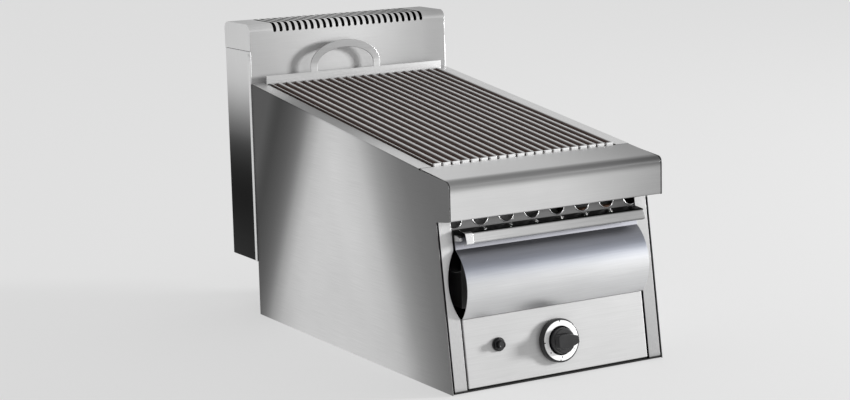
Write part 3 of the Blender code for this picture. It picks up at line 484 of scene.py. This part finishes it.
# Grate channels: painted highlight on the lips and painted shade down the channels, over a brown tone
steel("grateSteelPaintedLight", "Y", level=0.98, roughness=0.34, metallic=0.2, shades=[
    (offGrate, *grateSpan(-0.0095, 0.003),
     [(0.0, (0.30, 0.22, 0.20)), (0.50, (0.22, 0.16, 0.14)), (0.66, (0.12, 0.085, 0.075)),
      (0.76, (0.26, 0.20, 0.185)), (0.86, (0.08, 0.06, 0.055)), (0.92, 0.30), (0.96, 0.95), (1.0, 1.0)]),
])
steel("tipSatin", "X", level=0.98, roughness=0.30, metallic=0.3)
steel("castBrass", "Z", level=0.62, roughness=0.35, tint=(1.0, 0.78, 0.42))
steel("drawnCopper", "Y", level=0.25, roughness=0.40, tint=(1.0, 0.62, 0.45))
steel("dialSilver", "X", level=0.95, roughness=0.40, metallic=0.5)
moulded("blackPlastic", (0.006, 0.006, 0.007), 0.34)
# painted shadow: black for the strip under the front
moulded("shadowBlack", (0.004, 0.004, 0.004), 0.8)
print("materials made")

slotOf = {entry["node"]: entry["material_slot"] for entry in frame["record"]["subparts"]}
slotFinish = {
    "stainless": "innerSteel",
    "bright_stainless": "topSatin",
    "grate_steel": "grateSteelPaintedLight",
    "heated_steel": "heated",
    "black_plastic": "blackPlastic",
    "dial_silver": "dialSilver",
    "brass": "castBrass",
    "copper": "drawnCopper",
}
# the base pan is painted near-black as shadow
nodeFinish = {"base_pan": "paintedShadowSteel"}    # nodes that differ from the rest of their slot


def dress(piece, *coats):
    piece.data.materials.clear()
    for coat in coats:
        piece.data.materials.append(finishes[coat])


for name, node in nodes.items():
    finish = nodeFinish.get(name) or slotFinish.get(slotOf.get(name), "innerSteel")
    dress(node, finish)


def coatPicked(piece, index, test):  # paint only the faces that pass the test
    openEdit(piece)
    pick(piece, "FACE", test)
    piece.active_material_index = index
    bpy.ops.object.material_slot_assign()
    closeEdit()


def hand(piece, bodyName, slot, finish, *replaced):  # fit the finished piece to the frame
    if finish:
        dress(piece, finish)
    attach(piece, bodyName)
    if replaced:
        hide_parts(*replaced)


def tidyCopy(nodeName, name, width, segments=2, angle=35):  # a CAD node's shape with softened edges
    piece = bpy.data.objects.new(name, nodes[nodeName].data.copy())
    piece.data.name = name
    bpy.context.scene.collection.objects.link(piece)
    openEdit(piece)
    bpy.ops.mesh.select_all(action="SELECT")
    bpy.ops.mesh.remove_doubles(threshold=0.00001)
    bpy.ops.mesh.normals_make_consistent(inside=False)
    bpy.ops.mesh.dissolve_limited(angle_limit=math.radians(0.5))
    closeEdit()
    soften(piece, width, segments, angle)
    smooth(piece)
    return piece


# Nose: one sheet folded over the front of the worktop
nose = {"depth": 0.090, "radius": 0.010, "flange": 0.012, "crease": 0.0024, "halfTurn": 41.3}
noseLow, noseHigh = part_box("nose_cap")
seamY = frontY + nose["depth"] * math.cos(tilt)
seamZ = body["frontHeight"] + nose["depth"] * math.sin(tilt)
piece = foldedSheet("noseSheet", (noseLow.x, noseHigh.x), [
    (seamY + math.sin(tilt) * nose["flange"], seamZ - math.cos(tilt) * nose["flange"]),
    (seamY, seamZ, nose["crease"]),
    (frontY, body["frontHeight"], nose["radius"]),
    (frontY, body["noseBottom"], nose["crease"]),
    (frontY + nose["flange"], body["noseBottom"]),
], body["sheet"], 1)
hand(piece, "frame", "bright_stainless", "noseSatinPaintedReflection", "nose_cap")
print("nose folded")

# Sides: each skin is folded over at the top to make the worktop's edge
sides = {"bend": 0.0022, "lip": 0.022, "near": 0.0005}
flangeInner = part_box("worktop_flange_right")[0].x + body["gap"]


def onSlope(vert):
    return vert.co.z > seamZ - sides["near"] and vert.co.y > seamY - sides["near"]


def sideSkin(label, facing):  # facing is -1 on the left and 1 on the right
    noseCorner = nose["radius"] * math.tan(math.radians(nose["halfTurn"]))
    piece = filledOutline("sideSkin" + label, [
        (frontY, 0), (backY, 0), (backY, body["backHeight"]), (seamY, seamZ),
        (frontY, body["frontHeight"]), (frontY, body["noseBottom"]),
        (frontY + body["setback"], body["postTop"]),
    ], [(frontY, body["frontHeight"], noseCorner)])
    normal = piece.data.polygons[0].normal.x
    openEdit(piece)
    bpy.ops.mesh.select_all(action="SELECT")
    if normal * facing < 0:
        bpy.ops.mesh.flip_normals()
    bpy.ops.transform.translate(value=(facing * halfWidth, 0, 0))
    pick(piece, "EDGE", lambda e: all(onSlope(v) for v in e.verts) and runOf(e, "y") > 0.1)
    pull((-facing * (halfWidth - flangeInner), 0, 0))
    pull((0, 0, -sides["lip"]))
    for x in (halfWidth, flangeInner):
        pick(piece, "EDGE", lambda e: runOf(e, "y") > 0.1
             and all(onSlope(v) and abs(abs(v.co.x) - x) < 0.0001 for v in e.verts))
        bpy.ops.mesh.bevel(offset=sides["bend"], segments=5, affect="EDGES")
    closeEdit()
    thicken(piece, body["sheet"], -1)
    soften(piece, body["corner"], 2, 50)
    smooth(piece)
    dress(piece, "sideSatinPaintedReflection", "edge" + label + "Satin")
    # the worktop edge takes its own finish; on the left side it carries a painted reflection
    coatPicked(piece, 1, lambda f: f.normal.z > 0.8 and f.calc_center_median().y > seamY)
    name = label.lower()
    hand(piece, "frame", "stainless", None, "side_panel_" + name, "worktop_flange_" + name)


sideSkin("Left", -1)
sideSkin("Right", 1)
print("side skins folded")

# Front posts, with a curved recess beside the tray front
for label in ("left", "right"):
    piece = tidyCopy("front_post_" + label, "post" + label.title(), 0.0004)
    hand(piece, "frame", "bright_stainless", "postSatinPaintedShade", "front_post_" + label)

# Control panel: a shallow tray of sheet with the holes for the stem and the button
panel = {"half": 0.170, "low": 0.006, "high": 0.1143, "depth": 0.014, "edge": 0.00144, "knobHeight": 0.058,
         "buttonX": -0.110, "buttonHeight": 0.0675, "stemHole": 0.006, "buttonHole": 0.0072, "burr": 0.0002}
faceOut = Matrix.Rotation(math.pi / 2, 4, "X")
knobPlace = onFront @ Matrix.Translation((0, 0, panel["knobHeight"])) @ faceOut
buttonPlace = onFront @ Matrix.Translation((panel["buttonX"], 0, panel["buttonHeight"])) @ faceOut


def drill(radius, place):
    bpy.ops.object.select_all(action="DESELECT")
    bpy.ops.mesh.primitive_cylinder_add(vertices=32, radius=radius, depth=0.01)
    return settle(newest("drill"), place)


piece = startBox("panelSheet", (-panel["half"], 0, panel["low"]),
                 (panel["half"], panel["depth"], panel["high"]))
openEdit(piece)
pick(piece, "FACE", lambda f: f.normal.y > 0.9)
bpy.ops.mesh.delete(type="FACE")
closeEdit()
soften(piece, panel["edge"], 4, 60)
thicken(piece, body["sheet"], -1)
settle(piece, onFront)
cutAway(piece, [drill(panel["stemHole"], knobPlace), drill(panel["buttonHole"], buttonPlace)])
soften(piece, panel["burr"], 2, 60)
smooth(piece)
hand(piece, "frame", "bright_stainless", "panelSatinPaintedShade", "control_panel")
print("control panel pressed")

# A black strip under the front stands in for the shadow in the gap below the panel: painted shadow
underShade = {"setback": 0.003, "depth": 0.0145, "low": 0.0003, "high": 0.0026, "play": 0.0006, "edge": 0.0004}
underShadeHalf = halfWidth - body["sheet"] - underShade["play"]
underShadeY = frontY + underShade["setback"]
piece = startBox("underShadeStrip", (-underShadeHalf, underShadeY, underShade["low"]),
                 (underShadeHalf, underShadeY + underShade["depth"], underShade["high"]))
soften(piece, underShade["edge"], 2, 40)
smooth(piece)
hand(piece, "frame", "black_plastic", "shadowBlack")

# Air plate with a rolled rim round each hole and a bead under them
air = {"holes": 8, "pitch": 0.0476, "radius": 0.0145, "rim": 0.0008, "rise": 0.017, "setback": 0.002,
       "drop": 0.0155, "bead": 0.0065, "beadHeight": 0.0016, "beadDepth": 0.0014, "beadEdge": 0.0006}
piece = tidyCopy("air_plate", "airPlateSheet", body["corner"])
airLow = postLength - air["drop"]
dress(piece, "airSatinPaintedShade")
rims = [piece]
for index in range(air["holes"]):
    x = (index - (air["holes"] - 1) / 2) * air["pitch"]
    bpy.ops.object.select_all(action="DESELECT")
    bpy.ops.mesh.primitive_torus_add(major_segments=40, minor_segments=8, major_radius=air["radius"],
                                     minor_radius=air["rim"])
    place = Matrix.Translation((x, air["setback"], airLow + air["rise"])) @ faceOut
    ring = settle(newest("rim"), onFront @ place)
    dress(ring, "rimSatin")
    smooth(ring)
    rims.append(ring)
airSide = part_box("air_plate")[1].x
beadY = air["setback"] - 0.0010
bead = startBox("bead", (-airSide, beadY, airLow + air["bead"]),
                (airSide, beadY + air["beadDepth"], airLow + air["bead"] + air["beadHeight"]))
soften(bead, air["beadEdge"], 4, 40)
dress(bead, "rimSatin")
smooth(bead)
rims.append(bead)
piece = joined("airPlateSheet", rims)
hand(piece, "frame", "bright_stainless", None, "air_plate")
print("air plate rolled")

# Tray front: a bowed shield with a flange that the handle is fixed to
shield = {"low": 0.1155, "high": 0.2221, "bulge": 0.024, "flange": 0.0185, "proud": 0.0022, "sheet": 0.0012,
          "half": 0.1715, "steps": 28}
rise = (shield["high"] - shield["low"]) / 2
bow = (rise ** 2 + shield["bulge"] ** 2) / (2 * shield["bulge"])    # radius of the bowed part
swing = math.asin(rise / bow)
middle = (shield["low"] + shield["high"]) / 2
centre = -shield["proud"] - shield["bulge"] + bow
path = []
for index in range(shield["steps"] + 1):
    angle = swing - 2 * swing * index / shield["steps"]
    path.append((centre - bow * math.cos(angle), middle - bow * math.sin(angle)))
path.append((-shield["proud"], shield["high"] + shield["flange"]))
piece = foldedSheet("trayShield", (-shield["half"], shield["half"]), path, shield["sheet"], 1)
settle(piece, onFront)
hand(piece, "tray", "bright_stainless", "shieldSatinPaintedReflection", "tray_front")

# Handle: a folded bar over the shield, with a clip at its left end and a bracket at each end
grip = {"top": 0.2526, "apron": 0.2471, "foot": 0.2321, "start": -0.0005, "reach": 0.0235, "slant": 0.0265,
        "lip": 0.010, "lipDrop": 0.001, "radius": 0.0036, "lowRadius": 0.00252, "left": -0.164,
        "right": 0.1715}
piece = foldedSheet("handleBar", (grip["left"], grip["right"]), [
    (grip["start"], grip["top"]),
    (-grip["reach"], grip["apron"], grip["radius"]),
    (-grip["slant"], grip["foot"], grip["lowRadius"]),
    (-grip["slant"] + grip["lip"], grip["foot"] - grip["lipDrop"]),
], shield["sheet"], -1)
settle(piece, onFront)
hand(piece, "tray", "bright_stainless", "handleSatinPaintedShade", "tray_handle")
clip = {"over": 0.0006, "width": 0.0125, "proud": 0.0009, "low": 0.00135, "top": 0.006, "rise": 0.0008,
        "lip": 0.008, "sheet": 0.0008}
piece = foldedSheet("handleClip", (grip["left"] - clip["over"], grip["left"] + clip["width"]), [
    (-grip["reach"] + clip["top"], grip["apron"] + clip["rise"] + clip["proud"]),
    (-grip["reach"] - clip["proud"], grip["apron"] + clip["proud"], grip["radius"]),
    (-grip["slant"] - clip["proud"], grip["foot"] - clip["low"], grip["lowRadius"]),
    (-grip["slant"] + clip["lip"], grip["foot"] - clip["low"] - grip["lipDrop"]),
], clip["sheet"], -1)
settle(piece, onFront)
hand(piece, "tray", "bright_stainless", "clipSatin")
for label in ("left", "right"):
    piece = tidyCopy("handle_bracket_" + label, "gripBracket" + label.title(), 0.0004)
    hand(piece, "tray", "bright_stainless", "postSatinPaintedShade", "handle_bracket_" + label)
print("tray front bowed and handle folded")

# Bezel of the knob
bezel = {"radius": 0.035, "height": 0.0102, "recess": 0.0235, "floor": 0.0042, "hole": 0.006, "edge": 0.0012}


def startDisc(name, radius, low, high, count=64):
    bpy.ops.object.select_all(action="DESELECT")
    bpy.ops.mesh.primitive_cylinder_add(vertices=count, radius=radius, depth=high - low,
                                        location=(0, 0, (low + high) / 2))
    return settle(newest(name))


piece = startDisc("bezelDisc", bezel["radius"], body["gap"], bezel["height"])
openEdit(piece)
pick(piece, "FACE", lambda f: f.normal.z > 0.9)
bpy.ops.mesh.inset(thickness=bezel["radius"] - bezel["recess"])
pull((0, 0, bezel["floor"] - bezel["height"]))
bpy.ops.mesh.inset(thickness=bezel["recess"] - bezel["hole"])
bpy.ops.mesh.delete(type="FACE")
pick(piece, "FACE", lambda f: f.normal.z < -0.9)
bpy.ops.mesh.inset(thickness=bezel["radius"] - bezel["hole"])
bpy.ops.mesh.delete(type="FACE")
pick(piece, "EDGE", lambda e: e.is_boundary)
bpy.ops.mesh.bridge_edge_loops()
closeEdit()
soften(piece, bezel["edge"], 4, 50)
smooth(piece, 30)
settle(piece, knobPlace)
hand(piece, "frame", "black_plastic", "blackPlastic", "knob_bezel")

# Marked ring; each mark has its angle, its inner and outer radius and its width
dial = {"radius": 0.032, "thickness": 0.001, "lift": 0.0002, "round": 96, "sink": 0.0001, "ink": 0.00018,
        "taper": 0.4, "markEdge": 0.00005,
        "marks": [(90, 0.0298, 0.0323, 0.0024), (180, 0.0296, 0.0323, 0.0024),
                  (262, 0.0298, 0.0323, 0.0024), (218, 0.0262, 0.0282, 0.0026),
                  (268, 0.0250, 0.0272, 0.0026), (325, 0.0268, 0.0280, 0.0014)]}
ringLow = bezel["height"] + dial["lift"]
ringHigh = ringLow + dial["thickness"]
piece = startDisc("dialBand", dial["radius"], ringLow, ringHigh, dial["round"])
cutAway(piece, [startDisc("core", bezel["recess"], ringLow - 0.01, ringLow + 0.01, dial["round"])])
soften(piece, body["corner"], 2, 50)
smooth(piece, 30)
settle(piece, knobPlace)
hand(piece, "frame", "dial_silver", "dialSilver", "dial_ring")

marks = []
for angle, inner, outer, width in dial["marks"]:
    mark = startBox("mark", (inner, -width / 2, ringHigh - dial["sink"]),
                    (outer, width / 2, ringHigh + dial["ink"]))
    openEdit(mark)
    pick(mark, "FACE", lambda f: f.normal.x < -0.9)
    bpy.ops.transform.resize(value=(1, dial["taper"], 1))
    closeEdit()
    marks.append(settle(mark, Matrix.Rotation(math.radians(angle), 4, "Z")))
piece = joined("dialMarks", marks)
soften(piece, dial["markEdge"], 1, 50)
settle(piece, knobPlace)
hand(piece, "frame", "black_plastic", "blackPlastic")

# Knob: a skirt with a grip bar and its pointer line
knob = {"skirt": 0.0215, "low": 0.008, "high": 0.0215, "draft": 0.93, "skirtEdge": 0.0016, "top": 0.031,
        "bar": 0.026, "barLow": 0.014, "back": 0.0185, "neck": 0.004, "beak": 0.0225, "beakWidth": 0.0125,
        "backRound": 0.0062, "beakRound": 0.0020, "barDraft": (0.95, 0.86, 1), "barEdge": 0.0013,
        "bore": 0.0043, "boreTop": 0.0243, "lineStart": 0.008, "lineHalf": 0.0007}
piece = startDisc("knobSkirt", knob["skirt"], knob["low"], knob["high"], 72)
openEdit(piece)
pick(piece, "FACE", lambda f: f.normal.z > 0.9)
bpy.ops.transform.resize(value=(knob["draft"], knob["draft"], 1))
closeEdit()
soften(piece, knob["skirtEdge"], 4, 50)
bar = startBox("bar", (-knob["back"], -knob["bar"] / 2, knob["barLow"]),
               (knob["neck"], knob["bar"] / 2, knob["top"]))
openEdit(bar)
pick(bar, "FACE", lambda f: f.normal.x > 0.9)
pull((knob["beak"] - knob["neck"], 0, 0))
bpy.ops.transform.resize(value=(1, knob["beakWidth"] / knob["bar"], 1))
pick(bar, "EDGE", lambda e: runOf(e, "z") > 0.01 and e.verts[0].co.x < 0)
bpy.ops.mesh.bevel(offset=knob["backRound"], segments=8, affect="EDGES")
pick(bar, "EDGE", lambda e: runOf(e, "z") > 0.01 and e.verts[0].co.x > 0.01)
bpy.ops.mesh.bevel(offset=knob["beakRound"], segments=5, affect="EDGES")
pick(bar, "FACE", lambda f: f.normal.z > 0.9)
bpy.ops.transform.resize(value=knob["barDraft"])
closeEdit()
soften(bar, knob["barEdge"], 3, 50)
combine(piece, bar, "UNION")
cutAway(piece, [startDisc("bore", knob["bore"], knob["low"] - 0.001, knob["boreTop"], 24)])
pointer = startBox("pointer", (knob["lineStart"], -knob["lineHalf"], knob["top"] - 0.0006),
                   (knob["back"] + 0.001, knob["lineHalf"], knob["top"] + 0.001))
cutAway(piece, [pointer])
smooth(piece, 30)
settle(piece, knobPlace)
hand(piece, "knob", "black_plastic", "blackPlastic", "knob")
print("knob turned")

# Igniter: round collar, hexagon nut and a dished button
igniter = {"collar": 0.011, "collarTop": 0.0030, "hexagon": 0.01023, "hexagonLow": 0.0025,
           "hexagonTop": 0.006, "hexagonEdge": 0.0008, "button": 0.006, "top": 0.013, "deep": -0.012,
           "wall": 0.0016, "dish": 0.0007, "edge": 0.0006, "round": 40}
piece = startDisc("igniterCollar", igniter["collar"], body["gap"], igniter["collarTop"], igniter["round"])
hexagon = startDisc("hexagon", igniter["hexagon"], igniter["hexagonLow"], igniter["hexagonTop"], 6)
soften(hexagon, igniter["hexagonEdge"], 3, 40)
combine(piece, hexagon, "UNION")
cutAway(piece, [startDisc("bore", igniter["button"] + body["gap"], -0.001, 0.02, igniter["round"])])
smooth(piece, 30)
settle(piece, buttonPlace)
hand(piece, "frame", "black_plastic", "blackPlastic", "igniter_nut")
piece = startDisc("igniterCap", igniter["button"], igniter["deep"], igniter["top"], igniter["round"])
openEdit(piece)
pick(piece, "FACE", lambda f: f.normal.z > 0.9)
bpy.ops.mesh.inset(thickness=igniter["wall"])
pull((0, 0, -igniter["dish"]))
closeEdit()
soften(piece, igniter["edge"], 3, 40)
smooth(piece, 30)
settle(piece, buttonPlace)
hand(piece, "igniter", "black_plastic", "blackPlastic", "igniter_button")
print("igniter turned")

# Flue shell, folded round its three sides
flue = {"bend": 0.003}
shellLow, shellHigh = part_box("flue_shell")
upright = Matrix(((0, 1, 0, 0), (0, 0, 1, 0), (1, 0, 0, 0), (0, 0, 0, 1)))
# Inside painted near-black as shade; the sides take a painted reflection and the back a painted shade
piece = foldedSheet("flueSheet", (shellLow.z, shellHigh.z), [
    (-halfWidth, shellLow.y),
    (-halfWidth, shellHigh.y, flue["bend"]),
    (halfWidth, shellHigh.y, flue["bend"]),
    (halfWidth, shellLow.y),
], body["sheet"], -1, body["corner"], ("flueSideSatinPaintedReflection", "rearSatinPaintedShade", "paintedShadowSteel"))
settle(piece, upright)
coatPicked(piece, 1, lambda f: f.normal.y > 0.7 and f.calc_center_median().y > shellHigh.y - 0.001)
hand(piece, "frame", "stainless", None, "flue_shell")

# Slotted cap over the flue, with its front carried down behind the grate
cap = {"round": 0.014, "corner": 0.0012, "step": 0.0004, "slots": 25, "pitch": 0.0125, "slot": 0.0062,
       "slotRound": 0.002976, "drop": 0.016, "back": 0.016, "margin": 0.02, "edge": 0.00012}
capLow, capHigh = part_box("flue_cap")
plateLow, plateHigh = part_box("flue_front_plate")
near = 0.0001
piece = startBox("capSheet", capLow, capHigh)
openEdit(piece)
pick(piece, "FACE", lambda f: f.normal.z < -0.9)
bpy.ops.mesh.delete(type="FACE")
pick(piece, "EDGE", lambda e: middleOf(e).z < capLow.z + near and middleOf(e).y < capLow.y + near)
pull((0, 0, -cap["step"]))
bpy.ops.transform.resize(value=(plateHigh.x / halfWidth, 1, 1))
pull((0, 0, plateLow.z - capLow.z + cap["step"]))
pick(piece, "EDGE", lambda e: middleOf(e).z > capHigh.z - near and runOf(e, "x") > 0.1)
bpy.ops.mesh.bevel(offset=cap["round"], segments=12, affect="EDGES")
pick(piece, "EDGE", lambda e: runOf(e, "z") > 0.02 and middleOf(e).z > capLow.z)
bpy.ops.mesh.bevel(offset=cap["corner"], segments=4, affect="EDGES")
closeEdit()
# Inside of the cap painted near-black as shade; its ends take the sides' painted reflection
dress(piece, "flueSatinPaintedLight", "paintedShadowSteel", "flueSideSatinPaintedReflection")
thicken(piece, body["sheet"], -1, 1)
coatPicked(piece, 2, lambda f: abs(f.calc_center_median().x) > halfWidth - 0.0005)
slotLow = capHigh.z - cap["drop"]
slotBack = capHigh.y - cap["back"]
slotBase = startBox("slot", (-cap["slot"] / 2, capLow.y - 0.002, slotLow),
                    (cap["slot"] / 2, slotBack, capHigh.z + 0.004))
openEdit(slotBase)
pick(slotBase, "EDGE", lambda e: middleOf(e).z < slotLow + near and runOf(e, "y") > 0.01)
bpy.ops.mesh.bevel(offset=cap["slotRound"], segments=5, affect="EDGES")
pick(slotBase, "EDGE", lambda e: middleOf(e).y > slotBack - near and runOf(e, "z") > 0.01)
bpy.ops.mesh.bevel(offset=cap["slotRound"], segments=5, affect="EDGES")
closeEdit()
slots = []
for index in range(cap["slots"]):
    x = (index - (cap["slots"] - 1) / 2) * cap["pitch"]
    slots.append(copyOf(slotBase, "slot", (x, 0, 0)))
bpy.data.objects.remove(slotBase, do_unlink=True)
cutAway(piece, [joined("slots", slots)])


def inSlot(face):  # the cut walls of the slots
    spot, way = face.calc_center_median(), face.normal
    if abs(spot.x) > halfWidth - cap["margin"] or spot.z < slotLow - 0.001:
        return False
    return way.z < 0.5 and abs(way.y) < 0.2 and (abs(way.x) > 0.3 or abs(way.z) > 0.3)


# the slot walls are painted near-black as shade
coatPicked(piece, 1, inSlot)
soften(piece, cap["edge"], 2, 50)
smooth(piece)
hand(piece, "frame", "bright_stainless", None, "flue_cap", "flue_front_plate")

# Plate behind the grate, with its arched lifting handle
piece = tidyCopy("grate_back_plate", "archPlate", 0.0007, 3)
hand(piece, "grate", "bright_stainless", "archSatinPaintedShade", "grate_back_plate")
piece = tidyCopy("rear_rail", "rearStrip", 0.0005)
hand(piece, "frame", "bright_stainless", "topSatin", "rear_rail")
print("flue, cap and arch finished")

# Grate: open channels on cross bars, closed at the front and rounded down at the back
grate = {"width": 0.0128, "tip": 0.0042, "pitch": 0.0172, "height": 0.0125, "proud": 0.003, "wall": 0.0011,
         "start": 0.0925, "count": 20, "slit": 0.0004, "crown": 0.0010, "scoop": 0.009, "tail": 0.0009,
         "cross": 0.006, "crossEdge": 0.0005, "crossAt": (0.10, 0.50, 0.90), "overlap": 0.0004,
         "lipRound": 0.0006, "floorRound": 0.0020, "edge": 0.0002, "tipEdge": 0.0008, "tipLow": 0.0002}
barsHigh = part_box("grate_bars")[1]
barEnd = (onTop.inverted() @ barsHigh).y - body["gap"]
lengthwise = Matrix.Rotation(math.pi / 2, 4, "Z")
edgeX = grate["width"] / 2
lipX = (grate["pitch"] - grate["slit"]) / 2
floorZ = grate["proud"] - grate["height"]
lipZ = grate["proud"] - grate["wall"]
shoulder = lipZ - grate["crown"]
tipEnd = grate["start"] + grate["tip"]
channel = foldedSheet("channel", (tipEnd - grate["overlap"], barEnd), [
    (-lipX, lipZ),
    (-edgeX, shoulder, grate["lipRound"]),
    (-edgeX, floorZ, grate["floorRound"]),
    (edgeX, floorZ, grate["floorRound"]),
    (edgeX, shoulder, grate["lipRound"]),
    (lipX, lipZ),
], grate["wall"], 1, grate["edge"], ("grateSteelPaintedLight",))
settle(channel, lengthwise)
tip = startBox("tip", (-edgeX, grate["start"], floorZ + grate["overlap"]),
               (edgeX, tipEnd, grate["proud"] - grate["tipLow"]))
soften(tip, grate["tipEdge"], 3, 40)
dress(tip, "tipSatin")
smooth(tip)
wallX = edgeX - grate["wall"]
scoopY = barEnd - grate["scoop"]
scoop = [(scoopY, floorZ + 0.0006)]
for index in range(9):
    angle = math.pi / 2 * index / 8
    scoop.append((scoopY + grate["scoop"] * math.sin(angle),
                  shoulder - grate["scoop"] * math.cos(angle) - grate["overlap"]))
tail = foldedSheet("tail", (-wallX, wallX), scoop, grate["tail"], 1, 0, ("grateSteelPaintedLight",))
channel = joined("channel", [channel, tip, tail])
bars = []
for index in range(grate["count"]):
    x = (index - (grate["count"] - 1) / 2) * grate["pitch"]
    bars.append(copyOf(channel, "bar", (x, 0, 0)))
bpy.data.objects.remove(channel, do_unlink=True)
reach = (grate["count"] - 1) / 2 * grate["pitch"] + edgeX
for share in grate["crossAt"]:
    y = grate["start"] + (barEnd - grate["start"]) * share
    cross = startBox("cross", (-reach, y, floorZ - grate["cross"]),
                     (reach, y + grate["cross"], floorZ + grate["overlap"]))
    soften(cross, grate["crossEdge"], 2, 40)
    dress(cross, "grateSteelPaintedLight")
    bars.append(cross)
piece = joined("grateChannels", bars)
settle(piece, onTop)
hand(piece, "grate", "grate_steel", None, "grate_bars")
print("grate channels laid")

# Stage, light and camera
stage = {"floor": 40.0, "drop": 0.0006, "tone": 0.30, "glow": 0.505, "sky": 0.60}
bpy.ops.object.select_all(action="DESELECT")
bpy.ops.mesh.primitive_plane_add(size=stage["floor"], location=(0, 0, -stage["drop"]))
floor = newest("floor")
floorFinish = bpy.data.materials.new("paleFloor")
floorFinish.use_nodes = True
tree = floorFinish.node_tree
shader = tree.nodes["Principled BSDF"]
shader.inputs["Base Color"].default_value = (stage["tone"], stage["tone"], stage["tone"], 1)
shader.inputs["Roughness"].default_value = 1.0
shader.inputs["Emission Color"].default_value = (1, 1, 1, 1)
shader.inputs["Emission Strength"].default_value = stage["glow"]
floor.data.materials.append(floorFinish)

world = bpy.data.worlds.new("studio")
bpy.context.scene.world = world
world.use_nodes = True
world.node_tree.nodes["Background"].inputs["Color"].default_value = (1, 1, 1, 1)
world.node_tree.nodes["Background"].inputs["Strength"].default_value = stage["sky"]

key = {"place": (5.2, -2.6, 1.0), "aim": (0, 0, 0.3), "size": 0.9, "power": 400}
lamp = bpy.data.lights.new("keyLight", "AREA")
lamp.shape = "RECTANGLE"
lamp.size = key["size"]
lamp.size_y = key["size"]
lamp.energy = key["power"]
light = bpy.data.objects.new("keyLight", lamp)
bpy.context.scene.collection.objects.link(light)
light.location = key["place"]
light.rotation_euler = (Vector(key["aim"]) - Vector(key["place"])).to_track_quat("-Z", "Y").to_euler()

camera = {"place": (-1.8383, -3.0764, 0.8928), "yaw": 0.5275, "pitch": -0.18122, "roll": -0.02447,
          "lens": 90.95}
lens = bpy.data.cameras.new("camera")
lens.lens = camera["lens"]
lens.sensor_width = 36
lens.clip_end = 100
view = bpy.data.objects.new("camera", lens)
bpy.context.scene.collection.objects.link(view)
turn = Matrix.Rotation(-camera["yaw"], 4, "Z") @ Matrix.Rotation(math.pi / 2 + camera["pitch"], 4, "X")
view.matrix_world = Matrix.Translation(camera["place"]) @ turn @ Matrix.Rotation(camera["roll"], 4, "Z")
bpy.context.scene.camera = view
bpy.context.scene.view_settings.view_transform = "Standard"
